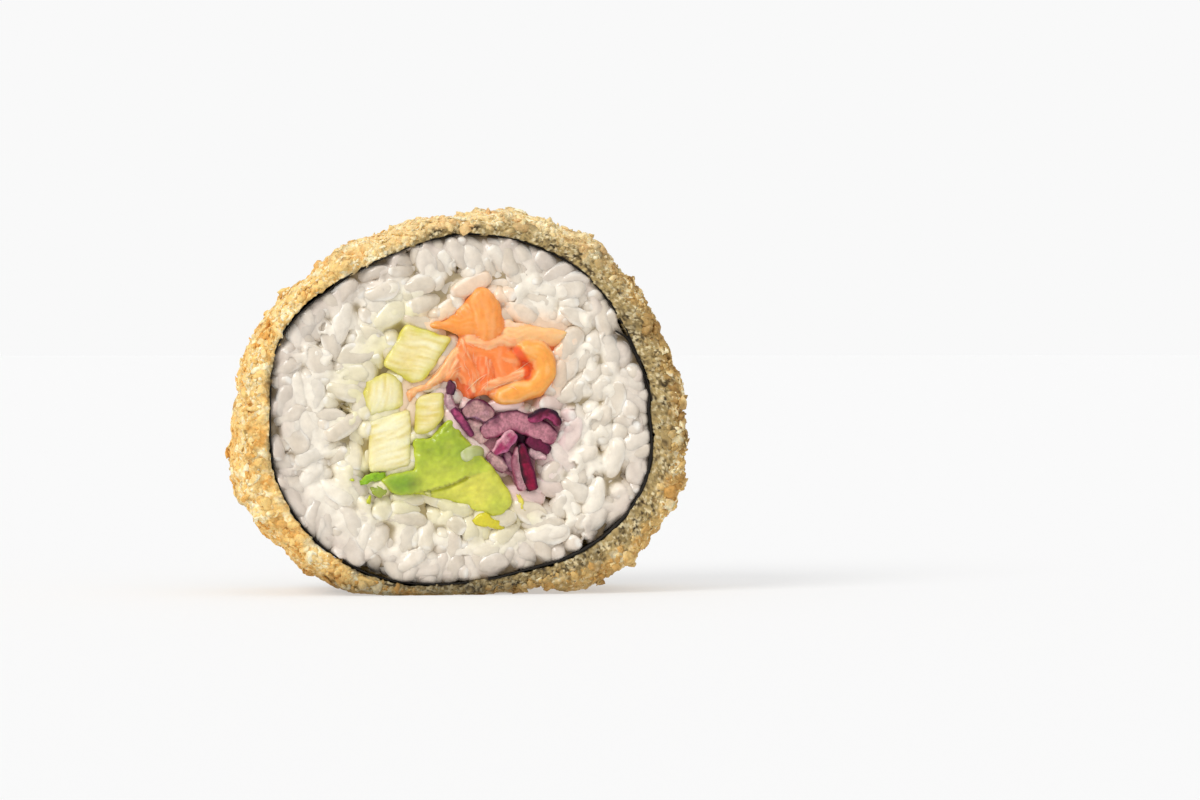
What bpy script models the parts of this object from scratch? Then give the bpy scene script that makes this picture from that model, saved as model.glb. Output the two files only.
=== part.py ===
# Panko salmon futomaki: one cut slice of a thick sushi roll, standing on its rim.
# The roll's axis lies along Y, and the cut face described here looks towards -Y.
# Sizes are in millimetres and angles in degrees, counterclockwise from +X on that face.
# Heights on the face are measured from the roll's axis. The finished meshes are scaled to metres.

import math
import random

import bmesh
import bpy
from mathutils import Matrix, Vector, noise
from mathutils.geometry import delaunay_2d_cdt

MM = 0.001
SEED = 11

# The slice
SLICE_DEPTH = 26.0
AXIS_HEIGHT = 29.35
FIT_GAP = 0.32
FLAT_ANGLE = 2.0

# The seaweed sheet: its radius every 22.5 degrees, its thickness and its lapped seam
SHEET_RADII = (31.2, 29.8, 30.5, 29.6, 28.8, 27.8, 28.8, 31.2,
               30.5, 31.4, 30.7, 29.1, 27.4, 27.5, 30.3, 32.3)
SHEET_THICKNESS = 0.45
SHEET_STEPS = 88
SEAM_ANGLE = 28.0
LAP_ANGLE = 25.0
LAP_RAMP = 14.0
LAP_STEP = 0.80
TUCK_ANGLE = 5.0
TUCK_DEPTH = 1.5

# The fried crust: its thickness every 22.5 degrees, its least thickness, how much thinner it gets
# from front to back round the upper left, its bulge and its crags
CRUST_THICKNESS = (5.7, 5.6, 4.7, 4.0, 3.0, 2.9, 2.5, 2.6,
                   4.1, 4.8, 3.4, 3.3, 3.0, 3.2, 5.7, 6.1)
CRUST_LEAST_WALL = 1.1
CRUST_TAPER = 0.8
CRUST_TAPER_ANGLE = 148.0
CRUST_TAPER_REACH = 36.0
CRUST_STEPS = 112
CRUST_ROWS = 10
CRUST_BULGE = 0.4
CRUST_EDGE_DROP = 0.6
CRUST_EDGE_WIDTH = 2.6
CRUST_RIM_PARTS = (0.0, 0.36, 0.7)
CRUST_RIM_DEPTH = 0.25
CRAG_HEIGHT = 0.95
CRAG_WIDTH = 4.2
RIM_RELIEF = 0.9
FLAKE_COUNT = 44
FLAKE_SIZE = (3.6, 2.5, 1.7)

# Crumb clumps that stand out of the crust: angle, place along Y, height
CLUMPS = ((306.0, -8.0, 1.6), (318.0, -3.0, 1.4), (322.0, 8.0, 1.3), (122.0, -6.0, 1.2),
          (196.0, 2.0, 1.2), (38.0, 6.0, 1.0), (352.0, -2.0, 0.9), (66.0, -9.0, 0.9))
CLUMP_WIDTH = 3.4
MEAN_RADIUS = 33.0

# Crumbs are spread by the golden angle and kept off the stretch that the slice stands on.
GOLDEN_TURN = 137.508
FLOOR_ANGLES = (236.0, 304.0)

# The rice: how far its core lies under the cut face, and its grains
RICE_RECESS = 1.35
GRAIN_LENGTH = 6.6
GRAIN_WIDTH = 2.75
GRAIN_SIDES = 8
GRAIN_BEND = 0.35
GRAIN_TAPER = 0.66
GRAIN_LEAN = 0.08
GRAIN_ROOT = 0.5
GRAIN_TRIES = 12000
GRAIN_SIZES = (1.12, 0.70)
GRAIN_LEVELS = (-0.35, 0.2)
CUTTER_REACH = 2.0

# The fillings: outlines on the cut face as (right, up) from the axis
CUCUMBERS = {
    "cucumber_top": ((-8.7, 14.5), (-12.6, 7.9), (-7.7, 4.8), (-5.7, 5.2), (-1.1, 12.1)),
    "cucumber_left": ((-15.1, 5.5), (-15.7, 2.4), (-14.6, -0.6), (-9.0, 1.0), (-9.3, 5.2), (-11.5, 6.6)),
    "cucumber_lower": ((-14.7, -1.1), (-14.6, -9.7), (-7.9, -8.5), (-8.0, 0.8)),
    "cucumber_right": ((-7.2, 2.7), (-7.4, -3.6), (-4.7, -3.1), (-2.5, -0.8), (-2.5, 3.5)),
}
CUCUMBER_CORNER = 0.8
CUCUMBER_PROUD = 0.1

AVOCADO = ((-7.3, -4.2), (-7.3, -8.5), (-8.4, -9.3), (-11.1, -9.8), (-12.6, -10.9), (-10.3, -12.9),
           (-5.6, -13.3), (-1.8, -13.9), (1.6, -15.1), (4.9, -16.6), (7.2, -16.1), (8.5, -14.1),
           (6.9, -10.7), (4.3, -7.5), (1.2, -4.5), (-0.7, -1.8), (-1.9, -1.0), (-4.6, -3.9))
AVOCADO_CREASE = ((-5.0, -12.2), (-1.5, -11.4), (1.2, -10.2))
AVOCADO_PROUD = 0.35

SALMON = ((1.0, 18.4), (-1.8, 15.4), (-4.6, 14.6), (-4.5, 13.9), (-1.1, 13.0), (-0.2, 11.9),
          (-2.7, 8.5), (-5.3, 4.9), (-8.5, 3.9), (-8.5, 1.9), (-7.8, 1.8), (-6.7, 3.4), (-4.4, 4.0),
          (-2.3, 4.8), (-1.2, 4.3), (-0.3, 3.2), (1.3, 2.0), (3.9, 3.0), (6.1, 1.7), (8.4, 1.4),
          (11.6, 2.2), (14.0, 3.2), (15.7, 5.3), (15.6, 7.7), (15.9, 10.5), (17.5, 13.1), (14.1, 13.8),
          (10.5, 14.5), (7.9, 15.3), (6.6, 17.5), (5.1, 19.7), (2.9, 20.2))
SALMON_LOBE = (3.6, 15.2)
SALMON_LOBE_WIDTH = 3.6
SALMON_CURL = ((9.8, 10.3), (14.2, 9.6), (14.0, 5.2), (8.6, 2.9))
SALMON_CURL_WIDTH = 1.9
SALMON_HOLLOW = (10.9, 7.2)
SALMON_HOLLOW_WIDTH = 1.9
SALMON_PROUD = -0.1

CABBAGE = ((-2.1, 4.2), (-2.15, 1.6), (-1.4, -0.2), (1.05, -3.1), (2.7, -4.0), (4.8, -6.6), (6.7, -9.3),
           (8.5, -10.2), (9.6, -12.6), (12.6, -12.7), (12.4, -9.7), (12.4, -7.5), (14.3, -7.1),
           (15.7, -4.0), (16.6, -1.6), (15.4, -0.2), (13.4, 0.5), (11.1, 0.0), (8.6, 0.6), (5.5, 0.4),
           (3.9, 2.1), (2.1, 1.5), (0.2, 1.1), (-1.2, 3.5))
CABBAGE_RECESS = 1.2
SHRED_THICKNESS = 2.0

# Shreds of cabbage on the cut face: width, how far they stand up, middle line
SHREDS = (
    (1.0, -0.1, ((-1.4, 3.6), (-0.9, 1.2), (0.4, -1.0), (1.7, -2.9))),
    (2.0, -0.3, ((1.5, 0.5), (3.0, 0.2), (4.6, -0.8))),
    (2.6, 0.2, ((4.6, -1.4), (8.0, -1.1), (11.8, -1.9), (14.4, -4.0))),
    (1.1, 0.5, ((12.2, -0.6), (13.9, -0.7), (15.6, -1.6))),
    (1.7, 0.0, ((7.4, -3.5), (6.2, -5.0), (5.4, -6.2))),
    (1.6, -0.2, ((10.6, -4.4), (12.4, -5.3), (13.9, -5.9))),
    (1.6, -0.2, ((5.9, -7.0), (7.0, -8.0), (8.0, -9.2))),
    (2.4, 0.3, ((9.6, -5.6), (10.3, -8.8), (11.0, -12.2))),
)


# Numbers and points

def ease(start, end, value):
    part = min(1.0, max(0.0, (value - start) / (end - start)))
    return part * part * (3.0 - 2.0 * part)


def curve_value(a, b, c, d, part):
    return b + 0.5 * part * (c - a + part * (2 * a - 5 * b + 4 * c - d + part * (3 * (b - c) + d - a)))


def around(values, angle):
    place = (angle % 360.0) * len(values) / 360.0
    index = int(place)
    near = (values[(index + k) % len(values)] for k in (-1, 0, 1, 2))
    return curve_value(*near, place - index)


def smooth_loop(points, pieces):
    loop = []
    count = len(points)
    for index in range(count):
        near = [points[(index + k) % count] for k in (-1, 0, 1, 2)]
        for piece in range(pieces):
            part = piece / pieces
            loop.append(tuple(curve_value(*(p[axis] for p in near), part) for axis in (0, 1)))
    return loop


def smooth_line(points, pieces):
    ends = [points[0], *points, points[-1]]
    line = []
    for index in range(len(points) - 1):
        near = ends[index:index + 4]
        for piece in range(pieces):
            part = piece / pieces
            line.append(tuple(curve_value(*(p[axis] for p in near), part) for axis in (0, 1)))
    line.append(points[-1])
    return line


def rounded_loop(points, radius):
    # Each corner becomes three points on a short curve.
    loop = []
    count = len(points)
    for index in range(count):
        before, corner, after = (Vector(points[(index + k) % count]) for k in (-1, 0, 1))
        start = corner + (before - corner).normalized() * min(radius, (before - corner).length * 0.4)
        end = corner + (after - corner).normalized() * min(radius, (after - corner).length * 0.4)
        middle = (start + end) * 0.25 + corner * 0.5
        loop += [tuple(start), tuple(middle), tuple(end)]
    return loop


def grown_loop(points, margin):
    # The outline moved outwards by a margin, for a counterclockwise loop.
    loop = []
    count = len(points)
    for index in range(count):
        before, corner, after = (Vector(points[(index + k) % count]) for k in (-1, 0, 1))
        first = (corner - before).normalized()
        second = (after - corner).normalized()
        normal = Vector((first.y + second.y, -first.x - second.x)).normalized()
        spread = max(0.6, normal.dot(Vector((first.y, -first.x))))
        loop.append(tuple(corner + normal * margin / spread))
    return loop


def is_inside(point, loop):
    inside = False
    before = loop[-1]
    for corner in loop:
        if (corner[1] > point[1]) != (before[1] > point[1]):
            slope = (before[0] - corner[0]) / (before[1] - corner[1])
            if point[0] < corner[0] + slope * (point[1] - corner[1]):
                inside = not inside
        before = corner
    return inside


def distance_to_line(point, line):
    here = Vector(point)
    best = 1e9
    for start, end in zip(line, line[1:]):
        start = Vector(start)
        way = Vector(end) - start
        part = min(1.0, max(0.0, (here - start).dot(way) / way.length_squared))
        best = min(best, (here - start - way * part).length)
    return best


def hump(point, centre, width):
    distance = math.dist(point, centre) / width
    return math.exp(-distance * distance)


def polar(angle, radius):
    return radius * math.cos(math.radians(angle)), radius * math.sin(math.radians(angle))


# The seaweed sheet's path

def sheet_offset(travel):
    # The sheet starts inside its own end and finishes outside it, so the seam is a clean lap.
    outer = ease(360.0 - LAP_RAMP, 360.0, travel)
    inner = 1.0 - ease(LAP_ANGLE, LAP_ANGLE + LAP_RAMP, travel)
    tuck = 1.0 - ease(0.0, TUCK_ANGLE, travel)
    return LAP_STEP / 2 * (outer - inner) - TUCK_DEPTH * tuck


def sheet_layers(angle):
    travel = (SEAM_ANGLE - angle) % 360.0
    travels = [travel]
    if travel <= LAP_ANGLE:
        travels.append(travel + 360.0)
    radius = around(SHEET_RADII, angle)
    return [radius + sheet_offset(value) for value in travels]


def space_outside_sheet(angle):
    reach = max(max(sheet_layers(angle + turn)) for turn in (-4, -2, 0, 2, 4))
    return reach + SHEET_THICKNESS / 2 + FIT_GAP


def space_inside_sheet(angle):
    reach = min(min(sheet_layers(angle + turn)) for turn in (-4, -2, 0, 2, 4))
    return reach - SHEET_THICKNESS / 2 - FIT_GAP


# Making meshes and objects

def new_object(name, mesh_builder, material, roll):
    mesh = bpy.data.meshes.new(name)
    bmesh.ops.recalc_face_normals(mesh_builder, faces=mesh_builder.faces)
    mesh_builder.to_mesh(mesh)
    mesh_builder.free()
    piece = bpy.data.objects.new(name, mesh)
    bpy.context.scene.collection.objects.link(piece)
    if material:
        mesh.materials.append(material)
    if roll:
        piece.parent = roll
    return piece


def shade_round(piece, angle):
    piece.data.shade_smooth()
    piece.data.set_sharp_from_angle(angle=math.radians(angle))


def make_material(name, colour, roughness, coat=0.0):
    material = bpy.data.materials.new(name)
    material.use_nodes = True
    shader = material.node_tree.nodes["Principled BSDF"]
    shader.inputs["Base Color"].default_value = (*colour, 1.0)
    shader.inputs["Roughness"].default_value = roughness
    shader.inputs["Metallic"].default_value = 0.0
    shader.inputs["Coat Weight"].default_value = coat
    return material


def prism(loop, front, back):
    builder = bmesh.new()
    front_ring = [builder.verts.new((x, front, z)) for x, z in loop]
    back_ring = [builder.verts.new((x, back, z)) for x, z in loop]
    count = len(loop)
    for index in range(count):
        after = (index + 1) % count
        builder.faces.new((front_ring[index], front_ring[after], back_ring[after], back_ring[index]))
    bmesh.ops.triangulate(builder, faces=[builder.faces.new(front_ring), builder.faces.new(back_ring)])
    return builder


def relief_prism(loop, spacing, height):
    # A prism whose two cut faces carry relief: height gives how far each point stands up.
    spots = [Vector(point) for point in loop]
    left = min(point[0] for point in loop)
    right = max(point[0] for point in loop)
    low = min(point[1] for point in loop)
    high = max(point[1] for point in loop)
    inner_loop = grown_loop(loop, -0.45 * spacing)
    rows = int((high - low) / (spacing * 0.87)) + 1
    columns = int((right - left) / spacing) + 2
    for row in range(rows):
        for column in range(columns):
            x = left + (column + 0.5 * (row % 2)) * spacing
            z = low + row * spacing * 0.87
            if is_inside((x, z), inner_loop):
                spots.append(Vector((x, z)))
    edge = list(range(len(loop)))
    flat, _, faces, _, _, _ = delaunay_2d_cdt(spots, [], [edge], 1, 1e-5)
    builder = bmesh.new()
    sides = []
    for side in (-1, 1):
        level = side * SLICE_DEPTH / 2
        ring = [builder.verts.new((p.x, level + side * height(p, side), p.y)) for p in flat]
        for face in faces:
            builder.faces.new([ring[index] for index in face])
        sides.append(ring)
    used = {}
    for face in faces:
        for index, start in enumerate(face):
            end = face[(index + 1) % len(face)]
            used.setdefault(frozenset((start, end)), []).append((start, end))
    for pair in used.values():
        if len(pair) == 1:
            start, end = pair[0]
            builder.faces.new((sides[0][start], sides[0][end], sides[1][end], sides[1][start]))
    return builder


def keep_main_body(piece):
    # Loose scraps and sealed hollows are bodies of their own, so only the largest body stays.
    # Faces that lie flat beside each other are then merged, which takes the joins' slivers away.
    builder = bmesh.new()
    builder.from_mesh(piece.data)
    left = set(builder.verts)
    bodies = []
    while left:
        seeds = [left.pop()]
        body = set(seeds)
        while seeds:
            for edge in seeds.pop().link_edges:
                for vertex in edge.verts:
                    if vertex in left:
                        left.remove(vertex)
                        body.add(vertex)
                        seeds.append(vertex)
        bodies.append(body)
    main = max(bodies, key=len)
    scraps = [vertex for vertex in builder.verts if vertex not in main]
    bmesh.ops.delete(builder, geom=scraps, context="VERTS")
    bmesh.ops.dissolve_limit(builder, angle_limit=math.radians(FLAT_ANGLE), verts=builder.verts,
                             edges=builder.edges)
    bmesh.ops.triangulate(builder, faces=builder.faces)
    builder.to_mesh(piece.data)
    builder.free()


def join_shapes(piece, shapes, operation, solver):
    # One Boolean on a collection of shapes, applied, with the shapes then removed.
    group = bpy.data.collections.new(piece.name + "_shapes")
    bpy.context.scene.collection.children.link(group)
    for shape in shapes:
        bpy.context.scene.collection.objects.unlink(shape)
        group.objects.link(shape)
    boolean = piece.modifiers.new("join", "BOOLEAN")
    boolean.operation = operation
    boolean.operand_type = "COLLECTION"
    boolean.collection = group
    boolean.solver = solver
    graph = bpy.context.evaluated_depsgraph_get()
    result = bpy.data.meshes.new_from_object(piece.evaluated_get(graph), depsgraph=graph)
    piece.modifiers.remove(boolean)
    before = piece.data
    piece.data = result
    result.name = before.name
    bpy.data.meshes.remove(before)
    for shape in shapes:
        bpy.data.objects.remove(shape)
    bpy.data.collections.remove(group)
    keep_main_body(piece)


# The seaweed

def make_seaweed(material, roll):
    total = 360.0 + LAP_ANGLE
    outer = []
    inner = []
    for step in range(SHEET_STEPS + 1):
        travel = total * step / SHEET_STEPS
        angle = SEAM_ANGLE - travel
        radius = around(SHEET_RADII, angle) + sheet_offset(travel)
        outer.append(polar(angle, radius + SHEET_THICKNESS / 2))
        inner.append(polar(angle, radius - SHEET_THICKNESS / 2))
    half = SLICE_DEPTH / 2
    builder = bmesh.new()
    rings = [[builder.verts.new((x, y, z)) for x, z in line]
             for line, y in ((outer, -half), (inner, -half), (inner, half), (outer, half))]
    for step in range(SHEET_STEPS):
        for ring, beside in zip(rings, rings[1:] + rings[:1]):
            builder.faces.new((ring[step], ring[step + 1], beside[step + 1], beside[step]))
    for step in (0, SHEET_STEPS):
        builder.faces.new([ring[step] for ring in rings])
    piece = new_object("nori", builder, material, roll)
    shade_round(piece, 40)
    return piece


# The fried crust

def crag(x, y, z):
    place = Vector((x, y, z)) / CRAG_WIDTH
    broad = noise.noise(place)
    fine = noise.noise(place * 2.3 + Vector((5.0, 1.0, 3.0)))
    return CRAG_HEIGHT * (broad * 1.3 + fine * 0.9)


def clump_height(angle, y):
    total = 0.0
    for clump_angle, clump_y, height in CLUMPS:
        turn = (angle - clump_angle + 180.0) % 360.0 - 180.0
        along = math.radians(turn) * MEAN_RADIUS
        total += height * math.exp(-(along * along + (y - clump_y) ** 2) / CLUMP_WIDTH ** 2)
    return total


def crust_outside(angle, y):
    half = SLICE_DEPTH / 2
    radius = around(SHEET_RADII, angle) + around(CRUST_THICKNESS, angle)
    turn = (angle - CRUST_TAPER_ANGLE + 180.0) % 360.0 - 180.0
    radius -= CRUST_TAPER * ease(CRUST_TAPER_REACH, 0.0, abs(turn)) * y / SLICE_DEPTH
    bulge = CRUST_BULGE * (1.0 - (y / half) ** 2)
    edge_drop = CRUST_EDGE_DROP * ease(half - CRUST_EDGE_WIDTH, half, abs(y))
    x, z = polar(angle, radius)
    radius += bulge - edge_drop + crag(x, y, z) + clump_height(angle, y)
    radius = max(radius, space_outside_sheet(angle) + CRUST_LEAST_WALL)
    x, z = polar(angle, radius)
    return x, y, max(z, -AXIS_HEIGHT)


def crust_rim(angle, part, side):
    # A point on the rim between the inner and the outer edge of the crust.
    half = SLICE_DEPTH / 2
    inner = space_outside_sheet(angle)
    outer_x, _, outer_z = crust_outside(angle, side * half)
    inner_x, inner_z = polar(angle, inner)
    x = inner_x + (outer_x - inner_x) * part
    z = inner_z + (outer_z - inner_z) * part
    bump = noise.noise(Vector((x, side * 20.0, z)) / 1.9) * RIM_RELIEF
    y = side * (half - CRUST_RIM_DEPTH + bump * math.sin(math.pi * (0.25 + part * 0.6)))
    return x, y, z


def make_flake(rng):
    # A jagged crumb: a stretched ball of twenty faces with its corners moved about.
    builder = bmesh.new()
    bmesh.ops.create_icosphere(builder, subdivisions=1, radius=1.0)
    for vertex in builder.verts:
        vertex.co *= rng.uniform(0.75, 1.2)
    return builder


def make_crust_flakes():
    rng = random.Random(SEED)
    flakes = []
    for number in range(FLAKE_COUNT):
        angle = (number * GOLDEN_TURN + rng.uniform(-9.0, 9.0)) % 360.0
        if FLOOR_ANGLES[0] < angle < FLOOR_ANGLES[1]:
            angle += FLOOR_ANGLES[1] - FLOOR_ANGLES[0]
        centre = Vector(crust_outside(angle, rng.uniform(-0.46, 0.46) * SLICE_DEPTH))
        size = [value * (0.58 - 0.22 * number / FLAKE_COUNT) for value in FLAKE_SIZE]
        up = Vector((centre.x, rng.uniform(-9.0, 9.0), centre.z)).normalized()
        long_way = up.cross(Vector((rng.uniform(-1, 1), 1.0, rng.uniform(-1, 1)))).normalized()
        cross_way = up.cross(long_way)
        builder = make_flake(rng)
        for vertex in builder.verts:
            along, across, high = (vertex.co[axis] * size[axis] for axis in range(3))
            vertex.co = centre + long_way * along + cross_way * across + up * (high + size[2] * 0.3)
            vertex.co.z = max(vertex.co.z, -AXIS_HEIGHT + FIT_GAP)
        flakes.append(new_object("flake", builder, None, None))
    return flakes


def make_crust(material, roll):
    half = SLICE_DEPTH / 2
    builder = bmesh.new()
    rings = []
    angles = [360.0 * step / CRUST_STEPS for step in range(CRUST_STEPS)]
    for side in (-1, 1):
        rim = []
        for part in CRUST_RIM_PARTS:
            rim.append([builder.verts.new(crust_rim(angle, part, side)) for angle in angles])
        if side < 0:
            rings += rim
            for row in range(CRUST_ROWS + 1):
                y = half * (2.0 * row / CRUST_ROWS - 1.0)
                rings.append([builder.verts.new(crust_outside(angle, y)) for angle in angles])
        else:
            rings += rim[::-1]
    for ring, beside in zip(rings, rings[1:] + rings[:1]):
        for step in range(CRUST_STEPS):
            after = (step + 1) % CRUST_STEPS
            builder.faces.new((ring[step], ring[after], beside[after], beside[step]))
    bmesh.ops.triangulate(builder, faces=builder.faces)
    crust = new_object("crust", builder, material, roll)
    join_shapes(crust, make_crust_flakes(), "UNION", "EXACT")
    shade_round(crust, 35)
    return crust


# The fillings

def cucumber_loop(name):
    return rounded_loop(CUCUMBERS[name], CUCUMBER_CORNER)


def avocado_loop():
    return smooth_loop(AVOCADO, 2)


def salmon_loop():
    return smooth_loop(SALMON, 2)


def make_cucumber(name, material, roll):
    reach = SLICE_DEPTH / 2 + CUCUMBER_PROUD
    piece = new_object(name, prism(cucumber_loop(name), -reach, reach), material, roll)
    shade_round(piece, 40)
    return piece


def avocado_height(point, side):
    crease = distance_to_line(point, AVOCADO_CREASE)
    wave = noise.noise(Vector((point[0], side * 9.0, point[1])) / 3.5)
    return AVOCADO_PROUD + 0.3 * wave - 0.45 * math.exp(-(crease / 0.9) ** 2)


def make_avocado(material, roll):
    builder = relief_prism(avocado_loop(), 2.4, avocado_height)
    piece = new_object("avocado", builder, material, roll)
    shade_round(piece, 50)
    return piece


def salmon_height(point, side):
    curl = distance_to_line(point, SALMON_CURL) / SALMON_CURL_WIDTH
    height = 0.8 * math.exp(-curl ** 4)
    height += 0.7 * hump(point, SALMON_LOBE, SALMON_LOBE_WIDTH)
    height -= 1.3 * hump(point, SALMON_HOLLOW, SALMON_HOLLOW_WIDTH)
    height += 0.35 * noise.noise(Vector((point[0], side * 7.0, point[1])) / 2.2)
    return SALMON_PROUD + height


def make_salmon(material, roll):
    builder = relief_prism(salmon_loop(), 2.0, salmon_height)
    piece = new_object("salmon", builder, material, roll)
    shade_round(piece, 45)
    return piece


def make_shred(width, lift, line, side):
    # A flat strip along a line on the cut face, a little narrower at its ends.
    points = [Vector(point) for point in smooth_line(line, 2)]
    top = side * (SLICE_DEPTH / 2 + lift)
    bottom = top - side * SHRED_THICKNESS
    builder = bmesh.new()
    rings = []
    last = len(points) - 1
    for index, point in enumerate(points):
        way = (points[min(last, index + 1)] - points[max(0, index - 1)]).normalized()
        across = Vector((-way.y, way.x)) * width / 2
        across *= 0.72 if index in (0, last) else 1.0
        corners = (point + across, point - across)
        rings.append([builder.verts.new((x, y, z)) for (x, z), y in (
            (corners[0], top), (corners[1], top), (corners[1], bottom), (corners[0], bottom))])
    for ring, beside in zip(rings, rings[1:]):
        for index in range(4):
            after = (index + 1) % 4
            builder.faces.new((ring[index], ring[after], beside[after], beside[index]))
    builder.faces.new(rings[0])
    builder.faces.new(rings[-1])
    bmesh.ops.triangulate(builder, faces=builder.faces)
    return new_object("shred", builder, None, None)


def make_red_cabbage(material, roll):
    reach = SLICE_DEPTH / 2 - CABBAGE_RECESS
    piece = new_object("red_cabbage", prism(CABBAGE, -reach, reach), material, roll)
    shreds = [make_shred(*shred, side) for side in (-1, 1) for shred in SHREDS]
    join_shapes(piece, shreds, "UNION", "EXACT")
    shade_round(piece, 30)
    return piece


# The rice

def filling_loops():
    loops = [cucumber_loop(name) for name in CUCUMBERS]
    return loops + [avocado_loop(), salmon_loop(), CABBAGE]


def rice_loop():
    count = 72
    return [polar(360.0 * step / count, space_inside_sheet(360.0 * step / count)) for step in range(count)]


def grain_outline(centre, turn, length, width, bend):
    points = []
    for step in range(GRAIN_SIDES):
        lean = 2.0 * math.pi * (step + 0.5) / GRAIN_SIDES
        along = math.cos(lean) * length / 2
        side = math.sin(lean) * width / 2 + bend * abs(math.sin(lean))
        points.append((centre[0] + along * math.cos(turn) - side * math.sin(turn),
                       centre[1] + along * math.sin(turn) + side * math.cos(turn)))
    return points


def make_grain(centre, outline, root, top, rng):
    # A grain that the knife cut flat: its foot is sunk in the core, and its top is smaller.
    builder = bmesh.new()
    lean_x = rng.uniform(-GRAIN_LEAN, GRAIN_LEAN)
    lean_z = rng.uniform(-GRAIN_LEAN, GRAIN_LEAN)
    foot = []
    crown = []
    for x, z in outline:
        foot.append(builder.verts.new((x, root, z)))
        x = (x - centre[0]) * GRAIN_TAPER
        z = (z - centre[1]) * GRAIN_TAPER
        crown.append(builder.verts.new((centre[0] + x, top + x * lean_x + z * lean_z, centre[1] + z)))
    for index in range(len(outline)):
        after = (index + 1) % len(outline)
        builder.faces.new((foot[index], foot[after], crown[after], crown[index]))
    builder.faces.new(foot)
    builder.faces.new(crown)
    return new_object("grain", builder, None, None)


def is_clear(outline, others):
    return not any(is_inside(point, other) for other in others for point in outline)


def place_grains(rng, outside, fillings):
    # The largest grains come first, and no grain overlaps one that was there before it.
    grains = []
    for number in range(GRAIN_TRIES):
        size = GRAIN_SIZES[0] + (GRAIN_SIZES[1] - GRAIN_SIZES[0]) * number / GRAIN_TRIES
        length = GRAIN_LENGTH * size
        width = GRAIN_WIDTH * math.sqrt(size)
        centre = polar(rng.uniform(0.0, 360.0), 30.5 * math.sqrt(rng.random()))
        turn = rng.uniform(0.0, math.pi)
        bend = rng.uniform(-GRAIN_BEND, GRAIN_BEND)
        near = [outline for other, outline in grains if math.dist(centre, other) < length]
        if not is_inside(centre, outside) or not is_clear([centre], near + fillings):
            continue
        for quarter in range(4):
            outline = grain_outline(centre, turn + quarter * math.pi / 4, length, width, bend)
            fits = all(is_inside(point, outside) for point in outline)
            fits = fits and is_clear(outline, near + fillings)
            if fits and all(is_clear(other, [outline]) for other in near + fillings):
                grains.append((centre, outline))
                break
    return grains


def make_rice(material, roll):
    core = SLICE_DEPTH / 2 - RICE_RECESS
    outside = rice_loop()
    fillings = [grown_loop(loop, FIT_GAP) for loop in filling_loops()]
    rice = new_object("rice", prism(outside, -core, core), material, roll)
    reach = core + CUTTER_REACH
    cutters = [new_object("cutter", prism(loop, -reach, reach), None, None) for loop in fillings]
    join_shapes(rice, cutters, "DIFFERENCE", "EXACT")
    shapes = []
    for side in (-1, 1):
        rng = random.Random(SEED + 7 * side)
        for centre, outline in place_grains(rng, outside, fillings):
            root = side * (core - GRAIN_ROOT)
            top = side * (SLICE_DEPTH / 2 + rng.uniform(*GRAIN_LEVELS))
            shapes.append(make_grain(centre, outline, root, top, rng))
    join_shapes(rice, shapes, "UNION", "MANIFOLD")
    shade_round(rice, 50)
    return rice


# The whole slice

def clear_scene():
    for thing in list(bpy.data.objects):
        bpy.data.objects.remove(thing, do_unlink=True)


def scale_to_metres(roll):
    for piece in roll.children:
        piece.data.transform(Matrix.Scale(MM, 4))


def stand_on_floor(roll, crust):
    # The origin is under the middle of the slice, on the surface that it stands on.
    corners = [vertex.co for vertex in crust.data.vertices]
    low_x = min(corner.x for corner in corners)
    high_x = max(corner.x for corner in corners)
    low_y = min(corner.y for corner in corners)
    high_y = max(corner.y for corner in corners)
    low_z = min(corner.z for corner in corners)
    roll.location = (-(low_x + high_x) / 2, -(low_y + high_y) / 2, -low_z)


def make_futomaki():
    clear_scene()
    roll = bpy.data.objects.new("futomaki", None)
    bpy.context.scene.collection.objects.link(roll)
    crust = make_crust(make_material("fried_panko", (0.68, 0.40, 0.13), 0.75), roll)
    make_seaweed(make_material("seaweed", (0.012, 0.014, 0.010), 0.45), roll)
    make_rice(make_material("sushi_rice", (0.86, 0.82, 0.73), 0.35, 0.2), roll)
    green = make_material("cucumber_flesh", (0.83, 0.84, 0.42), 0.3, 0.3)
    for name in CUCUMBERS:
        make_cucumber(name, green, roll)
    make_avocado(make_material("avocado_flesh", (0.55, 0.62, 0.08), 0.4), roll)
    make_salmon(make_material("salmon_flesh", (0.95, 0.28, 0.06), 0.4, 0.2), roll)
    make_red_cabbage(make_material("cabbage_leaf", (0.23, 0.02, 0.13), 0.4), roll)
    scale_to_metres(roll)
    stand_on_floor(roll, crust)


make_futomaki()
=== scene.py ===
import itertools
import math

import bpy
import numpy as np
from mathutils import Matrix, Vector
from mathutils.bvhtree import BVHTree
from mathutils.geometry import delaunay_2d_cdt


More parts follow.
